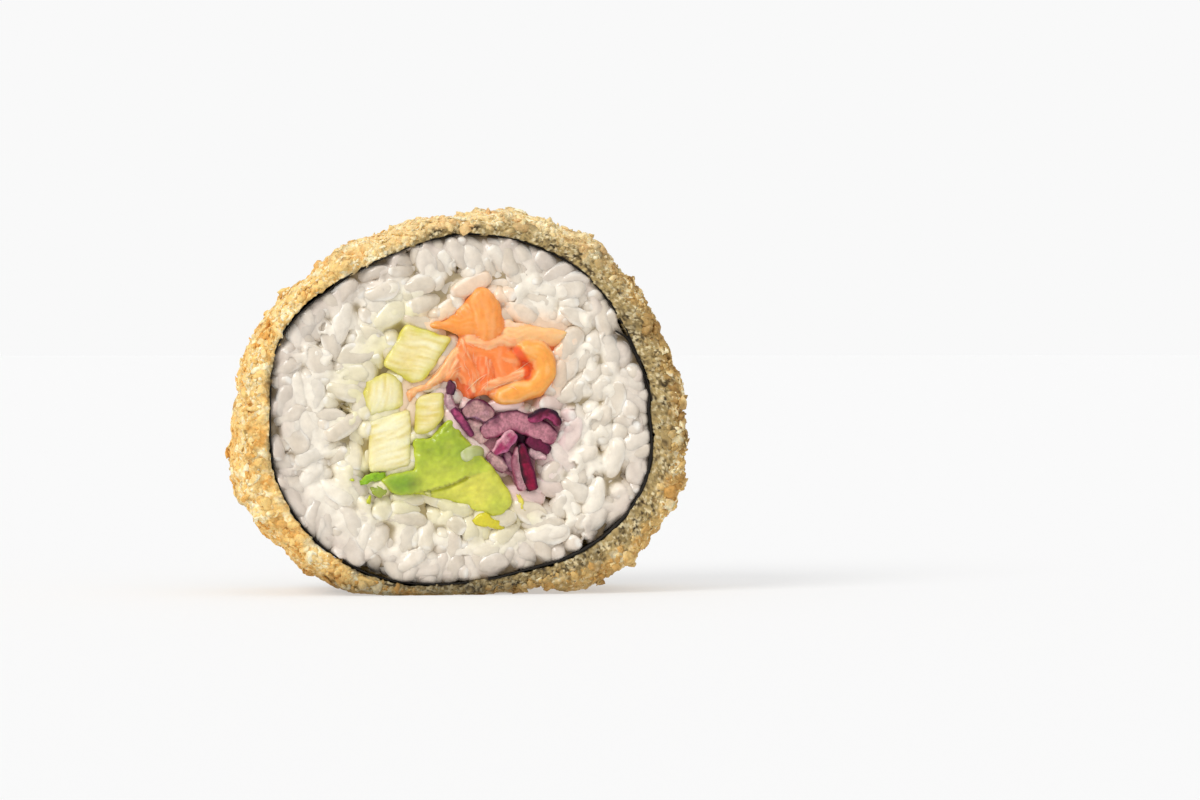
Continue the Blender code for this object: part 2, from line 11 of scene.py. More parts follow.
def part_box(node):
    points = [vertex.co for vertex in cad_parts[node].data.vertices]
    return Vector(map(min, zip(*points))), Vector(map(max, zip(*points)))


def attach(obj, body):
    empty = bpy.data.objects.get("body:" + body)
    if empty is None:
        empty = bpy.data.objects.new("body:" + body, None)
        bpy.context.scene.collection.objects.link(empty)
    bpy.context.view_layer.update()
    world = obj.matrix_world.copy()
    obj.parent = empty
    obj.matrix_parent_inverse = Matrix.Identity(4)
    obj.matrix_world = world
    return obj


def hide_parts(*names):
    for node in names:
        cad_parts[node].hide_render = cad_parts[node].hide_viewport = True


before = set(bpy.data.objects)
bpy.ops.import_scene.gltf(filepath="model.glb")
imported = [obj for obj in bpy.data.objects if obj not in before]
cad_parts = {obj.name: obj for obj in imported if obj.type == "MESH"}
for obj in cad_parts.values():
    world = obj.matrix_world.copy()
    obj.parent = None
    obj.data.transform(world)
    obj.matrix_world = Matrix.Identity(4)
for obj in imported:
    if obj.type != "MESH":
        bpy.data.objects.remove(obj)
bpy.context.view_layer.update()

# A slice of panko salmon futomaki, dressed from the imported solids.
# Shapes are made in millimetres about the roll's axis: x to the right of the cut face that
# the camera sees, y away from the camera, z up. placePiece turns them into metres in the frame.

mm = 0.001
sheetLow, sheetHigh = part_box("nori")
axisToSheet = {"left": 30.73, "bottom": 27.83}  # from the roll's axis to the seaweed's edges, in mm
axisPlace = np.array([sheetLow.x / mm + axisToSheet["left"],
                      (sheetLow.y + sheetHigh.y) / 2 / mm,
                      sheetLow.z / mm + axisToSheet["bottom"]])
faceDepth = (sheetHigh.y - sheetLow.y) / 2 / mm  # from the middle of the slice to a cut face
floorLevel = -axisPlace[2]


# Numbers, noise and outlines

def linearColor(hexText):
    parts = [int(hexText[start:start + 2], 16) / 255 for start in (1, 3, 5)]
    return np.array([part / 12.92 if part <= 0.04045 else ((part + 0.055) / 1.055) ** 2.4 for part in parts])


def colorSet(**hexTexts):
    return {name: linearColor(value) for name, value in hexTexts.items()}


def blendColors(first, second, share):
    share = np.clip(np.asarray(share, float), 0, 1)[..., None]
    return first * (1 - share) + second * share


def ease(start, end, value):
    part = np.clip((np.asarray(value, float) - start) / (end - start), 0, 1)
    return part * part * (3 - 2 * part)


def softNoise(points, size, seed=0):
    # Smooth hills between -1 and 1, about size millimetres apart.
    table = np.random.default_rng(seed + 100).uniform(-1, 1, (32, 32, 32))
    place = np.asarray(points, float) / size
    cell = np.floor(place).astype(int)
    part = place - cell
    part = part * part * (3 - 2 * part)
    total = np.zeros(len(place))
    for corner in itertools.product((0, 1), repeat=3):
        index = (cell + corner) % 32
        weight = np.where(np.array(corner) == 1, part, 1 - part).prod(axis=1)
        total += table[index[:, 0], index[:, 1], index[:, 2]] * weight
    return total


def crumbNoise(points, size, seed=0):
    # For each point the distance to the nearest crumb's middle, in crumb sizes, and that crumb's own tone.
    rng = np.random.default_rng(seed + 500)
    middles = rng.random((24, 24, 24, 3))
    tones = rng.random((24, 24, 24))
    place = np.asarray(points, float) / size
    cell = np.floor(place).astype(int)
    best = np.full(len(place), 9.0)
    tone = np.zeros(len(place))
    for step in itertools.product((-1, 0, 1), repeat=3):
        index = (cell + step) % 24
        key = (index[:, 0], index[:, 1], index[:, 2])
        distance = np.linalg.norm(place - cell - step - middles[key], axis=1)
        nearer = distance < best
        best = np.where(nearer, distance, best)
        tone = np.where(nearer, tones[key], tone)
    return best, tone


def smoothLine(points, pieces, closed=False):
    # A curve through the points, with the same number of pieces between each two.
    points = np.asarray(points, float)
    if closed:
        before, start, end, after = (np.roll(points, turn, axis=0) for turn in (1, 0, -1, -2))
    else:
        padded = np.vstack([points[0], points, points[-1]])
        before, start, end, after = padded[:-3], padded[1:-2], padded[2:-1], padded[3:]
    rows = []
    for piece in range(pieces):
        t = piece / pieces
        rows.append(start + 0.5 * t * (end - before + t * (2 * before - 5 * start + 4 * end - after
                                                           + t * (3 * (start - end) + after - before))))
    line = np.stack(rows, axis=1).reshape(-1, points.shape[1])
    return line if closed else np.vstack([line, points[-1]])


def lineDistance(points, line, closed=False):
    # How far each flat point is from a line, and how far along it is the nearest place, from 0 to 1.
    points = np.asarray(points, float)
    line = np.asarray(line, float)
    ends = np.vstack([line, line[:1]]) if closed else line
    lengths = np.linalg.norm(np.diff(ends, axis=0), axis=1)
    total = lengths.sum()
    best = np.full(len(points), 1e9)
    along = np.zeros(len(points))
    done = 0.0
    for start, end, length in zip(ends[:-1], ends[1:], lengths):
        way = end - start
        part = np.clip(((points - start) @ way) / max(way @ way, 1e-9), 0, 1)
        distance = np.linalg.norm(points - start - part[:, None] * way, axis=1)
        nearer = distance < best
        best = np.where(nearer, distance, best)
        along = np.where(nearer, (done + part * length) / total, along)
        done += length
    return best, along


def insideLoop(points, loop):
    points = np.asarray(points, float)
    loop = np.asarray(loop, float)
    inside = np.zeros(len(points), bool)
    for corner, before in zip(loop, np.roll(loop, 1, axis=0)):
        if corner[1] == before[1]:
            continue
        crosses = (corner[1] > points[:, 1]) != (before[1] > points[:, 1])
        slope = (before[0] - corner[0]) / (before[1] - corner[1])
        inside ^= crosses & (points[:, 0] < corner[0] + slope * (points[:, 1] - corner[1]))
    return inside


def edgeDistance(points, loop):
    # Positive inside the outline and negative outside it.
    distance = lineDistance(points, loop, closed=True)[0]
    return np.where(insideLoop(points, loop), distance, -distance)


# Meshes

# How far apart the points of each filling's cut face are, in mm.
meshSpacing = {"rice": 0.36, "cucumber": 0.26, "avocado": 0.27, "salmon": 0.24, "cabbage": 0.4}


def splitQuads(quads):
    quads = np.asarray(quads).reshape(-1, 4)
    return np.vstack([quads[:, [0, 1, 2]], quads[:, [0, 2, 3]]])


def gridQuads(rows, columns, wrapRows=False, wrapColumns=False):
    row = np.arange(rows if wrapRows else rows - 1)
    column = np.arange(columns if wrapColumns else columns - 1)
    row, column = (part.ravel() for part in np.meshgrid(row, column, indexing="ij"))
    nextRow = (row + 1) % rows
    nextColumn = (column + 1) % columns
    return np.stack([row * columns + column, row * columns + nextColumn,
                     nextRow * columns + nextColumn, nextRow * columns + column], axis=1)


def placePiece(name, points, triangles, colors, material, nodes, slotName, flat=False):
    mesh = bpy.data.meshes.new(name)
    triangles = np.asarray(triangles, np.int32)
    places = (np.asarray(points, float) + axisPlace) * mm
    mesh.vertices.add(len(places))
    mesh.vertices.foreach_set("co", places.astype(np.float32).ravel())
    mesh.loops.add(triangles.size)
    mesh.loops.foreach_set("vertex_index", triangles.ravel())
    mesh.polygons.add(len(triangles))
    mesh.polygons.foreach_set("loop_start", np.arange(0, triangles.size, 3, dtype=np.int32))
    mesh.update(calc_edges=True)
    mesh.validate()
    full = np.ones((len(places), 4), np.float32)
    full[:, :3] = colors
    mesh.color_attributes.new("paint", "FLOAT_COLOR", "POINT").data.foreach_set("color", full.ravel())
    if not flat:
        mesh.shade_smooth()
    mesh.materials.append(material)
    piece = bpy.data.objects.new(name, mesh)
    bpy.context.scene.collection.objects.link(piece)
    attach(piece, "root")
    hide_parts(*nodes)
    print(name, len(triangles), "triangles")


def joinParts(parts):
    # parts holds (points, triangles, colors) of each closed shape.
    points, triangles, colors = [], [], []
    start = 0
    for partPoints, partTriangles, partColors in parts:
        points.append(partPoints)
        triangles.append(np.asarray(partTriangles) + start)
        colors.append(partColors)
        start += len(partPoints)
    return np.vstack(points), np.vstack(triangles), np.vstack(colors)


def copyShape(shape, triangles, matrices, places):
    # The same shape many times over, each turned and stretched by its matrix.
    count = len(matrices)
    points = np.einsum("nij,vj->nvi", matrices, shape) + places[:, None, :]
    starts = np.arange(count)[:, None, None] * len(shape)
    return points.reshape(-1, 3), (triangles[None] + starts).reshape(-1, 3)


def fillOutline(outline, spacing, heightOf, seed, reach=faceDepth):
    # A solid that runs through the slice, with its own relief on each cut face.
    outline = np.asarray(outline, float)
    rng = np.random.default_rng(seed)
    low, high = outline.min(axis=0), outline.max(axis=0)
    rows, columns = (np.ceil((high - low) / (spacing * 0.9))).astype(int)[::-1] + 1
    row, column = np.meshgrid(np.arange(rows), np.arange(columns), indexing="ij")
    spots = np.stack([low[0] + (column + 0.5 * (row % 2)) * spacing, low[1] + row * spacing * 0.87], axis=-1)
    spots = spots.reshape(-1, 2) + rng.uniform(-0.18, 0.18, (rows * columns, 2)) * spacing
    spots = spots[edgeDistance(spots, outline) > 0.45 * spacing]
    corners = [Vector(point) for point in np.vstack([outline, spots])]
    flat, _, faces, _, _, _ = delaunay_2d_cdt(corners, [], [list(range(len(outline)))], 1, 1e-6)
    flat = np.array([(point.x, point.y) for point in flat])
    faces = np.array(faces)
    front = np.column_stack([flat[:, 0], -reach - heightOf(flat, -1), flat[:, 1]])
    back = np.column_stack([flat[:, 0], reach + heightOf(flat, 1), flat[:, 1]])
    edges = np.vstack([faces[:, [0, 1]], faces[:, [1, 2]], faces[:, [2, 0]]])
    known = {tuple(edge) for edge in edges}
    rim = np.array([edge for edge in known if (edge[1], edge[0]) not in known])
    count = len(flat)
    walls = np.stack([rim[:, 0], rim[:, 0] + count, rim[:, 1] + count, rim[:, 1]], axis=1)
    triangles = np.vstack([faces, faces[:, ::-1] + count, splitQuads(walls)])
    return np.vstack([front, back]), triangles, np.vstack([flat, flat])


def onBothFaces(measure, spots):
    # The first half of a filled outline's points is in front, and the second half behind.
    half = len(spots) // 2
    return np.concatenate([measure(spots[:half], -1), measure(spots[half:], 1)])


def tubeTriangles(rings, sides):
    # The wall of a tube, with a fan of triangles over each of its ends.
    triangles = [splitQuads(gridQuads(rings, sides, wrapColumns=True))]
    corners = np.arange(1, sides - 1)
    for start, order in ((0, -1), ((rings - 1) * sides, 1)):
        fan = np.column_stack([np.zeros_like(corners), corners, corners + 1]) + start
        triangles.append(fan[:, ::order])
    return np.vstack(triangles)


def nodeTree(name):
    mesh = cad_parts[name].data
    places = np.empty(len(mesh.vertices) * 3, np.float32)
    mesh.vertices.foreach_get("co", places)
    places = places.reshape(-1, 3) / mm - axisPlace
    return BVHTree.FromPolygons([tuple(place) for place in places], [tuple(face.vertices) for face in mesh.polygons])


def wallRadius(tree, angle, y, outward):
    # Where a ray across the roll meets the solid first: from the axis outward, or from outside inward.
    way = Vector((math.cos(angle), 0, math.sin(angle)))
    start = Vector((0, y, 0)) if outward else way * 60 + Vector((0, y, 0))
    place, _, _, _ = tree.ray_cast(start, way if outward else -way)
    return math.hypot(place.x, place.z) if place else math.nan


# Materials

def addNode(tree, kind, inputs=None, **settings):
    node = tree.nodes.new(kind)
    for name, value in settings.items():
        setattr(node, name, value)
    for name, value in (inputs or {}).items():
        if isinstance(value, bpy.types.NodeSocket):
            tree.links.new(value, node.inputs[name])
        else:
            node.inputs[name].default_value = value
    return node


def startMaterial(name, **shine):
    # A material with fixed values on the shader's own sockets.
    material = bpy.data.materials.new(name)
    material.use_nodes = True
    shader = material.node_tree.nodes["Principled BSDF"]
    for socket, value in shine.items():
        shader.inputs[socket.replace("_", " ")].default_value = value
    return material, material.node_tree, shader


def fineRelief(tree, shader, size, dent, strength=0.5, detail=5.0, roughness=0.5):
    # Noise that dents the surface. Its grain and its dents are in millimetres, and a scale of 1 is a metre.
    place = addNode(tree, "ShaderNodeTexCoord").outputs["Object"]
    noise = addNode(tree, "ShaderNodeTexNoise", {"Vector": place, "Scale": 1 / (size * mm), "Detail": detail,
                                                 "Roughness": roughness}).outputs["Fac"]
    bump = addNode(tree, "ShaderNodeBump", {"Height": noise, "Strength": strength, "Distance": dent * mm})
    tree.links.new(bump.outputs["Normal"], shader.inputs["Normal"])
    return noise


def shadePaint(tree, shader, noise, dark, light):
    # The piece's own paint, darker in the noise's hollows and lighter on its hills.
    paint = addNode(tree, "ShaderNodeAttribute", attribute_name="paint").outputs["Color"]
    shade = addNode(tree, "ShaderNodeMapRange", {"Value": noise, "From Min": 0.3, "From Max": 0.7,
                                                 "To Min": dark, "To Max": light})
    color = addNode(tree, "ShaderNodeVectorMath", {0: paint, "Scale": shade.outputs["Result"]}, operation="SCALE")
    tree.links.new(color.outputs["Vector"], shader.inputs["Base Color"])


def friedPanko():
    # Wheat breadcrumbs fried in oil: dry, porous and matt, with a thin film of oil on the high crumbs.
    material, tree, shader = startMaterial(
        "friedPanko", Specular_IOR_Level=0.35, IOR=1.45, Subsurface_Weight=0.12, Subsurface_Scale=0.6 * mm,
        Subsurface_Radius=(1.0, 0.6, 0.25))
    pores = fineRelief(tree, shader, 0.55, 0.25, strength=0.8, detail=6.0, roughness=0.65)
    shadePaint(tree, shader, pores, 0.72, 1.22)
    rough = addNode(tree, "ShaderNodeMapRange", {"Value": pores, "From Min": 0.35, "From Max": 0.65,
                                                 "To Min": 0.8, "To Max": 0.5})
    tree.links.new(rough.outputs["Result"], shader.inputs["Roughness"])
    return material


def toastedSeaweed():
    # Pressed and dried nori, wet again from the rice: nearly black green, thin, with a soft uneven gloss.
    material, tree, shader = startMaterial("toastedSeaweed", Specular_IOR_Level=0.25, IOR=1.45)
    fibres = fineRelief(tree, shader, 1.2, 0.2)
    color = addNode(tree, "ShaderNodeMix", {"Factor": fibres, "A": (*seaweedColors["dark"], 1),
                                            "B": (*seaweedColors["light"], 1)}, data_type="RGBA")
    tree.links.new(color.outputs["Result"], shader.inputs["Base Color"])
    rough = addNode(tree, "ShaderNodeMapRange", {"Value": fibres, "To Min": 0.4, "To Max": 0.75})
    tree.links.new(rough.outputs["Result"], shader.inputs["Roughness"])
    return material


def steamedRice():
    # Cooked short-grain rice with vinegar: moist and translucent, so light spreads inside each grain.
    material, tree, shader = startMaterial(
        "steamedRice", Specular_IOR_Level=0.5, IOR=1.38, Roughness=0.34, Subsurface_Weight=0.25,
        Subsurface_Scale=0.5 * mm, Subsurface_Radius=(1.0, 1.0, 1.0), Coat_Weight=0.7, Coat_Roughness=0.08)
    shadePaint(tree, shader, fineRelief(tree, shader, 1.3, 0.2, roughness=0.6), 0.9, 1.07)
    return material


def wetFlesh(name, grain, contrast, **shine):
    # Cut plant or fish flesh: wet, a little translucent, with a fine grain that only just breaks the gloss.
    material, tree, shader = startMaterial(name, IOR=1.4, **shine)
    shadePaint(tree, shader, fineRelief(tree, shader, grain, 0.12, detail=4.0), 1 - contrast, 1 + contrast)
    return material


# The seaweed

seaweed = {
    "seamAngle": 28.0,
    "lapAngle": 25.0,
    "steps": 700,
    "rows": 15,
    "wave": 0.10,
    "proud": 0.02,
    # How thick the cut edge looks at each angle round the roll, in degrees from the right.
    "angles": (-180, -140, -100, -65, -30, 0, 20, 35, 60, 100, 150, 180),
    "thickness": (0.20, 0.14, 0.15, 0.30, 0.46, 0.36, 0.26, 0.16, 0.12, 0.12, 0.15, 0.18),
    "lapGap": 0.24,
    "lapThin": 0.55,
    "lapDepth": 0.05,
    "tuckDepth": 1.6,
    "tuckAngle": 4.2,
    "rollRadius": 30,
}
seaweedColors = colorSet(dark="#0e0b09", light="#241e16")


def smoothed(values, width):
    return np.convolve(np.pad(values, width // 2, mode="edge"), np.ones(width) / width, mode="valid")


def seaweedLines():
    # The middle of the sheet along its travel from its inner end to its outer end, read from the solid.
    tree = nodeTree("nori")
    total = 360 + seaweed["lapAngle"]
    travels = np.linspace(0.4, total - 0.3, seaweed["steps"])
    radii = []
    for travel in travels:
        angle = math.radians(seaweed["seamAngle"] - travel)
        inner = wallRadius(tree, angle, 0, True)
        outer = wallRadius(tree, angle, 0, False)
        if travel <= seaweed["lapAngle"]:
            # The inner end lies close against the outer one, and only its tip turns in between the grains.
            tuck = seaweed["tuckDepth"] * float(ease(seaweed["tuckAngle"], 0, travel))
            radii.append(outer - seaweed["lapDepth"] - seaweed["lapGap"] - tuck)
        elif travel >= 360:
            radii.append(outer - seaweed["lapDepth"])
        else:
            radii.append((inner + outer) / 2)
    return travels, np.radians(seaweed["seamAngle"] - travels), smoothed(radii, 7)


def makeSeaweed():
    travels, angles, radii = seaweedLines()
    steps, rows = len(travels), seaweed["rows"]
    depths = np.linspace(-faceDepth, faceDepth, rows)
    angle, depth = np.meshgrid(angles, depths, indexing="ij")
    arc = np.radians(travels) * seaweed["rollRadius"]
    seeds = np.column_stack([np.repeat(arc, rows), depth.ravel(), np.zeros(depth.size)])
    wave = (softNoise(seeds, 3.2, 1) * seaweed["wave"] + softNoise(seeds, 1.1, 2) * 0.05).reshape(steps, rows)
    turned = (np.degrees(angle) + 180) % 360 - 180
    half = np.interp(turned, seaweed["angles"], seaweed["thickness"]) / 2
    half *= 1 + 0.45 * softNoise(seeds, 3.0, 3).reshape(steps, rows)
    # Both layers of the lap are squeezed thin towards the outer end.
    inLap = np.maximum(ease(4, 16, travels) * ease(28, 23, travels), ease(364, 376, travels))
    half *= (1 - seaweed["lapThin"] * inLap)[:, None]
    middle = radii[:, None] + wave
    # Only its two cut edges stand a little proud of the faces.
    lift = seaweed["proud"] + 0.16 * softNoise(np.column_stack([arc, arc * 0, arc * 0]), 2.0, 4)
    lift += 0.3 * ease(seaweed["tuckAngle"] + 1, 1, travels)
    y = depth + np.sign(depth) * lift[:, None] * (np.abs(depth) > 0.99 * faceDepth)
    sides = []
    for sign in (1, -1):
        radius = middle + sign * half
        sides.append(np.stack([radius * np.cos(angle), y, radius * np.sin(angle)], axis=-1).reshape(-1, 3))
    grid = gridQuads(steps, rows)
    count = steps * rows
    index = np.arange(count).reshape(steps, rows)
    rim = []
    for line in (index[:, 0], index[-1], index[::-1, -1], index[0, ::-1]):
        rim.append(np.stack([line[:-1], line[:-1] + count, line[1:] + count, line[1:]], axis=1))
    quads = np.vstack([grid[:, ::-1], grid + count, *rim])
    placePiece("seaweedSheet", np.vstack(sides), splitQuads(quads), 0, toastedSeaweed(), ["nori"], "seaweed")


# The fried crust

crust = {
    "columns": 900,
    "outerRows": 60,
    "rimRows": 24,
    "edgeRound": 0.9,
    "lumpSize": 6.5,
    "clumpSize": 3.3,
    "crumbSize": 1.35,
    "innerReach": 0.6,
    "proud": 0.7,
    # Loose crumbs lie on the body: how many, how large in mm, how fine their mesh is, how near the seaweed.
    "kinds": 8,
    "jag": 0.45,
    "loose": {"crustFlakes": {"count": 1900, "sizes": (0.9, 2.4), "subdivisions": 2, "seed": 15, "rimStart": 0.2},
              "crustCrumbs": {"count": 9000, "sizes": (0.35, 1.1), "subdivisions": 1, "seed": 16, "rimStart": -0.1}},
}
crustColors = colorSet(batter="#b49b66", batterDark="#43351f", gold="#f2cb80", pale="#fdf0c8", amber="#dd9c42",
                       dull="#ab8a52", brown="#755328")


def crustBase():
    # The crust's own solid sets the shape: rays across the roll give its outside, and its inner wall too.
    tree = nodeTree("crust")
    columns = crust["columns"]
    angles = np.linspace(0, 2 * math.pi, columns, endpoint=False)
    depths = np.linspace(-faceDepth + 0.8, faceDepth - 0.8, crust["outerRows"])
    outer = np.array([[wallRadius(tree, angle, depth, False) for angle in angles] for depth in depths])
    inner = np.array([wallRadius(tree, angle, 0, True) for angle in angles]) - crust["innerReach"]
    for _ in range(3):
        outer = (outer + np.roll(outer, 1, axis=1) + np.roll(outer, -1, axis=1)) / 3
        padded = np.vstack([outer[:1], outer, outer[-1:]])
        outer = (padded[:-2] + padded[1:-1] + padded[2:]) / 3
    rows = []
    for side, edge in ((-1, outer[0]), (1, outer[-1])):
        rim = []
        for share in np.linspace(0, 1, crust["rimRows"]):
            drop = crust["edgeRound"] * share ** 6
            radius = inner + (edge - 0.35 - inner) * share
            rim.append((radius, np.full(columns, side * (faceDepth - 0.05 - drop)), share))
        if side > 0:
            rows += [(radius, np.full(columns, depth), 2.0) for radius, depth in zip(outer, depths)]
        rows += rim[::-side]
    radius = np.array([row[0] for row in rows])
    y = np.array([row[1] for row in rows])
    zones = np.array([row[2] for row in rows])
    points = np.stack([radius * np.cos(angles), y, radius * np.sin(angles)], axis=-1)
    return points, zones


def gridNormals(points):
    down = np.roll(points, -1, axis=0) - np.roll(points, 1, axis=0)
    across = np.roll(points, -1, axis=1) - np.roll(points, 1, axis=1)
    normals = np.cross(across, down)
    return normals / np.maximum(np.linalg.norm(normals, axis=-1, keepdims=True), 1e-9)


def crustTones(points, zones, tone):
    # Greyish batter beside the seaweed, then golden crumbs with pale ones and amber ones among them.
    # The far left is painted lighter, as painted light. The right side is browner, partly its own duller fry
    # and partly painted shade, and the foot is painted darker, as painted shade near the floor.
    patch = softNoise(points, 8.0, 21)
    clump = crumbNoise(points, crust["clumpSize"], 24)[1]
    tone = tone + 0.5 * (clump - 0.5) + 0.12 * patch
    color = blendColors(crustColors["gold"], crustColors["pale"], ease(0.55, 1.0, tone))
    color = blendColors(color, crustColors["amber"], ease(0.42, 0.0, tone) * (0.75 + 0.4 * patch))
    speck = crumbNoise(points, 0.42, 22)[1]
    dull = blendColors(crustColors["dull"], crustColors["brown"], ease(0.5, 0.95, speck))
    # The right side: partly a duller, browner fry and partly painted shade on the side away from the light.
    side = ease(0, 30, points[:, 0] - 0.2 * points[:, 2] + 5 * patch)
    side *= 0.45 + 0.55 * ease(-14, -2, points[:, 2])
    color = blendColors(color, dull, side * ease(0.85, 0.3, tone) * 0.85)
    color = blendColors(color, crustColors["pale"], 0.3 * ease(20, 32, points[:, 2]))
    grit = 0.75 * speck + 0.25 + 0.3 * softNoise(points, 1.2, 25)
    batter = blendColors(crustColors["batter"], crustColors["batterDark"], ease(0.55, 1.1, grit))
    batter = blendColors(batter, crustColors["pale"], ease(0.3, 0.1, speck) * 0.45)
    turn = np.arctan2(points[:, 2], points[:, 0])
    wide = 0.08 + 0.7 * ease(2.3, 1.35, np.abs(turn)) + 0.3 * ease(-2.4, -1.7, turn) * ease(-0.9, -1.4, turn)
    share = ease(wide + 0.25, wide - 0.3, zones + 0.25 * softNoise(points, 1.6, 23))
    color = blendColors(color, batter, share)
    # Painted shade darkens the foot near the floor, and painted light brightens the far left side.
    footShade = ease(floorLevel + 5.5, floorLevel + 0.5, points[:, 2]) * (1 - 0.6 * ease(6, 18, points[:, 0]))
    left = ease(-12, -32, points[:, 0])
    return color * (1.03 + 0.07 * left - 0.55 * footShade)[:, None]


def keepOnFloor(points):
    # Nothing of the crust goes below the floor, or stands too far out of the cut faces.
    points[:, 1] = np.clip(points[:, 1], -faceDepth - crust["proud"], faceDepth + crust["proud"])
    points[:, 2] = np.maximum(points[:, 2], floorLevel)


def makeCrust():
    base, zones = crustBase()
    rows, columns = base.shape[:2]
    normals = gridNormals(base)
    flat = base.reshape(-1, 3)
    zone = np.repeat(zones, columns)
    large, toneLarge = crumbNoise(flat, crust["crumbSize"], 11)
    small, toneSmall = crumbNoise(flat, crust["crumbSize"] * 0.5, 12)
    clump = crumbNoise(flat, crust["clumpSize"], 24)[0]
    height = 0.3 * softNoise(flat, crust["lumpSize"], 13) + 0.9 * (0.5 - clump)
    height += 0.6 * (0.6 - large) + 0.5 * (0.6 - small) + 0.14 * softNoise(flat, 0.45, 14)
    strength = np.where(zone > 1.5, 1.0, 0.55 + 0.4 * ease(0.1, 0.85, zone))
    points = flat + normals.reshape(-1, 3) * (height * strength)[:, None]
    keepOnFloor(points)
    # Besides its random part the tone rises with the height: high crumbs are painted paler, a painted highlight, and
    # low ones amber, a painted shade.
    colors = crustTones(flat, zone, 0.6 * toneLarge + 0.4 * toneSmall + 0.3 * height)
    # Painted shade: the low places between the crumbs are painted darker, more so towards the right side.
    creviceShade = 0.45 + 0.15 * ease(5, 30, flat[:, 0])
    colors *= (1.07 - creviceShade * ease(0.15, -0.75, height))[:, None]
    quads = gridQuads(rows, columns, wrapRows=True, wrapColumns=True)
    material = friedPanko()
    placePiece("crustBody", points, splitQuads(quads[:, ::-1]), colors, material, ["crust"], "fried_panko")
    return points.reshape(rows, columns, 3), normals, zones, material


def crumbShapes(kinds, subdivisions, jag, seed):
    # A few jagged crumbs to copy: a ball with its points pushed in and out, then bent.
    bpy.ops.mesh.primitive_ico_sphere_add(subdivisions=subdivisions, radius=1)
    ball = bpy.context.object
    sphere = np.array([vertex.co for vertex in ball.data.vertices])
    triangles = np.array([list(face.vertices) for face in ball.data.polygons])
    bpy.data.objects.remove(ball)
    shapes = []
    rng = np.random.default_rng(seed)
    for kind in range(kinds):
        push = 1 + jag * softNoise(sphere + kind * 7.3, 0.85, seed + kind) + rng.uniform(-0.22, 0.22, len(sphere))
        shape = sphere * push[:, None]
        shape[:, 2] += 0.3 * (shape[:, 0] ** 2 - 0.4)
        shapes.append(shape)
    return shapes, triangles


def scatterCrumbs(name, surface, count, sizes, subdivisions, seed, rimStart):
    points, normals, zones, material = surface
    rng = np.random.default_rng(seed)
    shapes, triangles = crumbShapes(crust["kinds"], subdivisions, crust["jag"], seed)
    weights = np.where(zones > 1.5, 1.0, 0.8 * ease(rimStart, 0.9, zones))
    # Twice as many are drawn, because those at the foot are left out.
    rows = rng.choice(len(zones), count * 2, p=weights / weights.sum())
    columns = rng.integers(0, points.shape[1], count * 2)
    places = points[rows, columns]
    clear = places[:, 2] > floorLevel + 0.9
    rows, columns, places = rows[clear][:count], columns[clear][:count], places[clear][:count]
    count = len(places)
    up = normals[rows, columns] + rng.normal(0, 0.35, (count, 3))
    up /= np.linalg.norm(up, axis=1, keepdims=True)
    along = np.cross(up, rng.normal(0, 1, (count, 3)))
    along /= np.linalg.norm(along, axis=1, keepdims=True)
    across = np.cross(up, along)
    size = rng.uniform(*sizes, count) * rng.uniform(0.75, 1.2, count)
    stretch = np.column_stack([size * rng.uniform(0.8, 1.35, count), size * rng.uniform(0.5, 0.9, count),
                               size * rng.uniform(0.22, 0.5, count)]) / 2
    matrices = np.stack([along, across, up], axis=2) * stretch[:, None, :]
    places = places + up * (stretch[:, 2:3] * 0.55)
    tones = rng.random(count)
    parts = []
    kind = rng.integers(0, crust["kinds"], count)
    for index, shape in enumerate(shapes):
        chosen = kind == index
        partPoints, partTriangles = copyShape(shape, triangles, matrices[chosen], places[chosen])
        # Each crumb is painted paler on its outer side and darker underneath: painted light and painted shade.
        tone = np.repeat(tones[chosen], len(shape)) + np.tile(0.14 * shape[:, 2], chosen.sum())
        zone = np.repeat(zones[rows[chosen]], len(shape)) + 0.25
        keepOnFloor(partPoints)
        parts.append((partPoints, partTriangles, crustTones(partPoints, zone, tone)))
    placePiece(name, *joinParts(parts), material, ["crust"], "fried_panko", flat=True)


# The rice

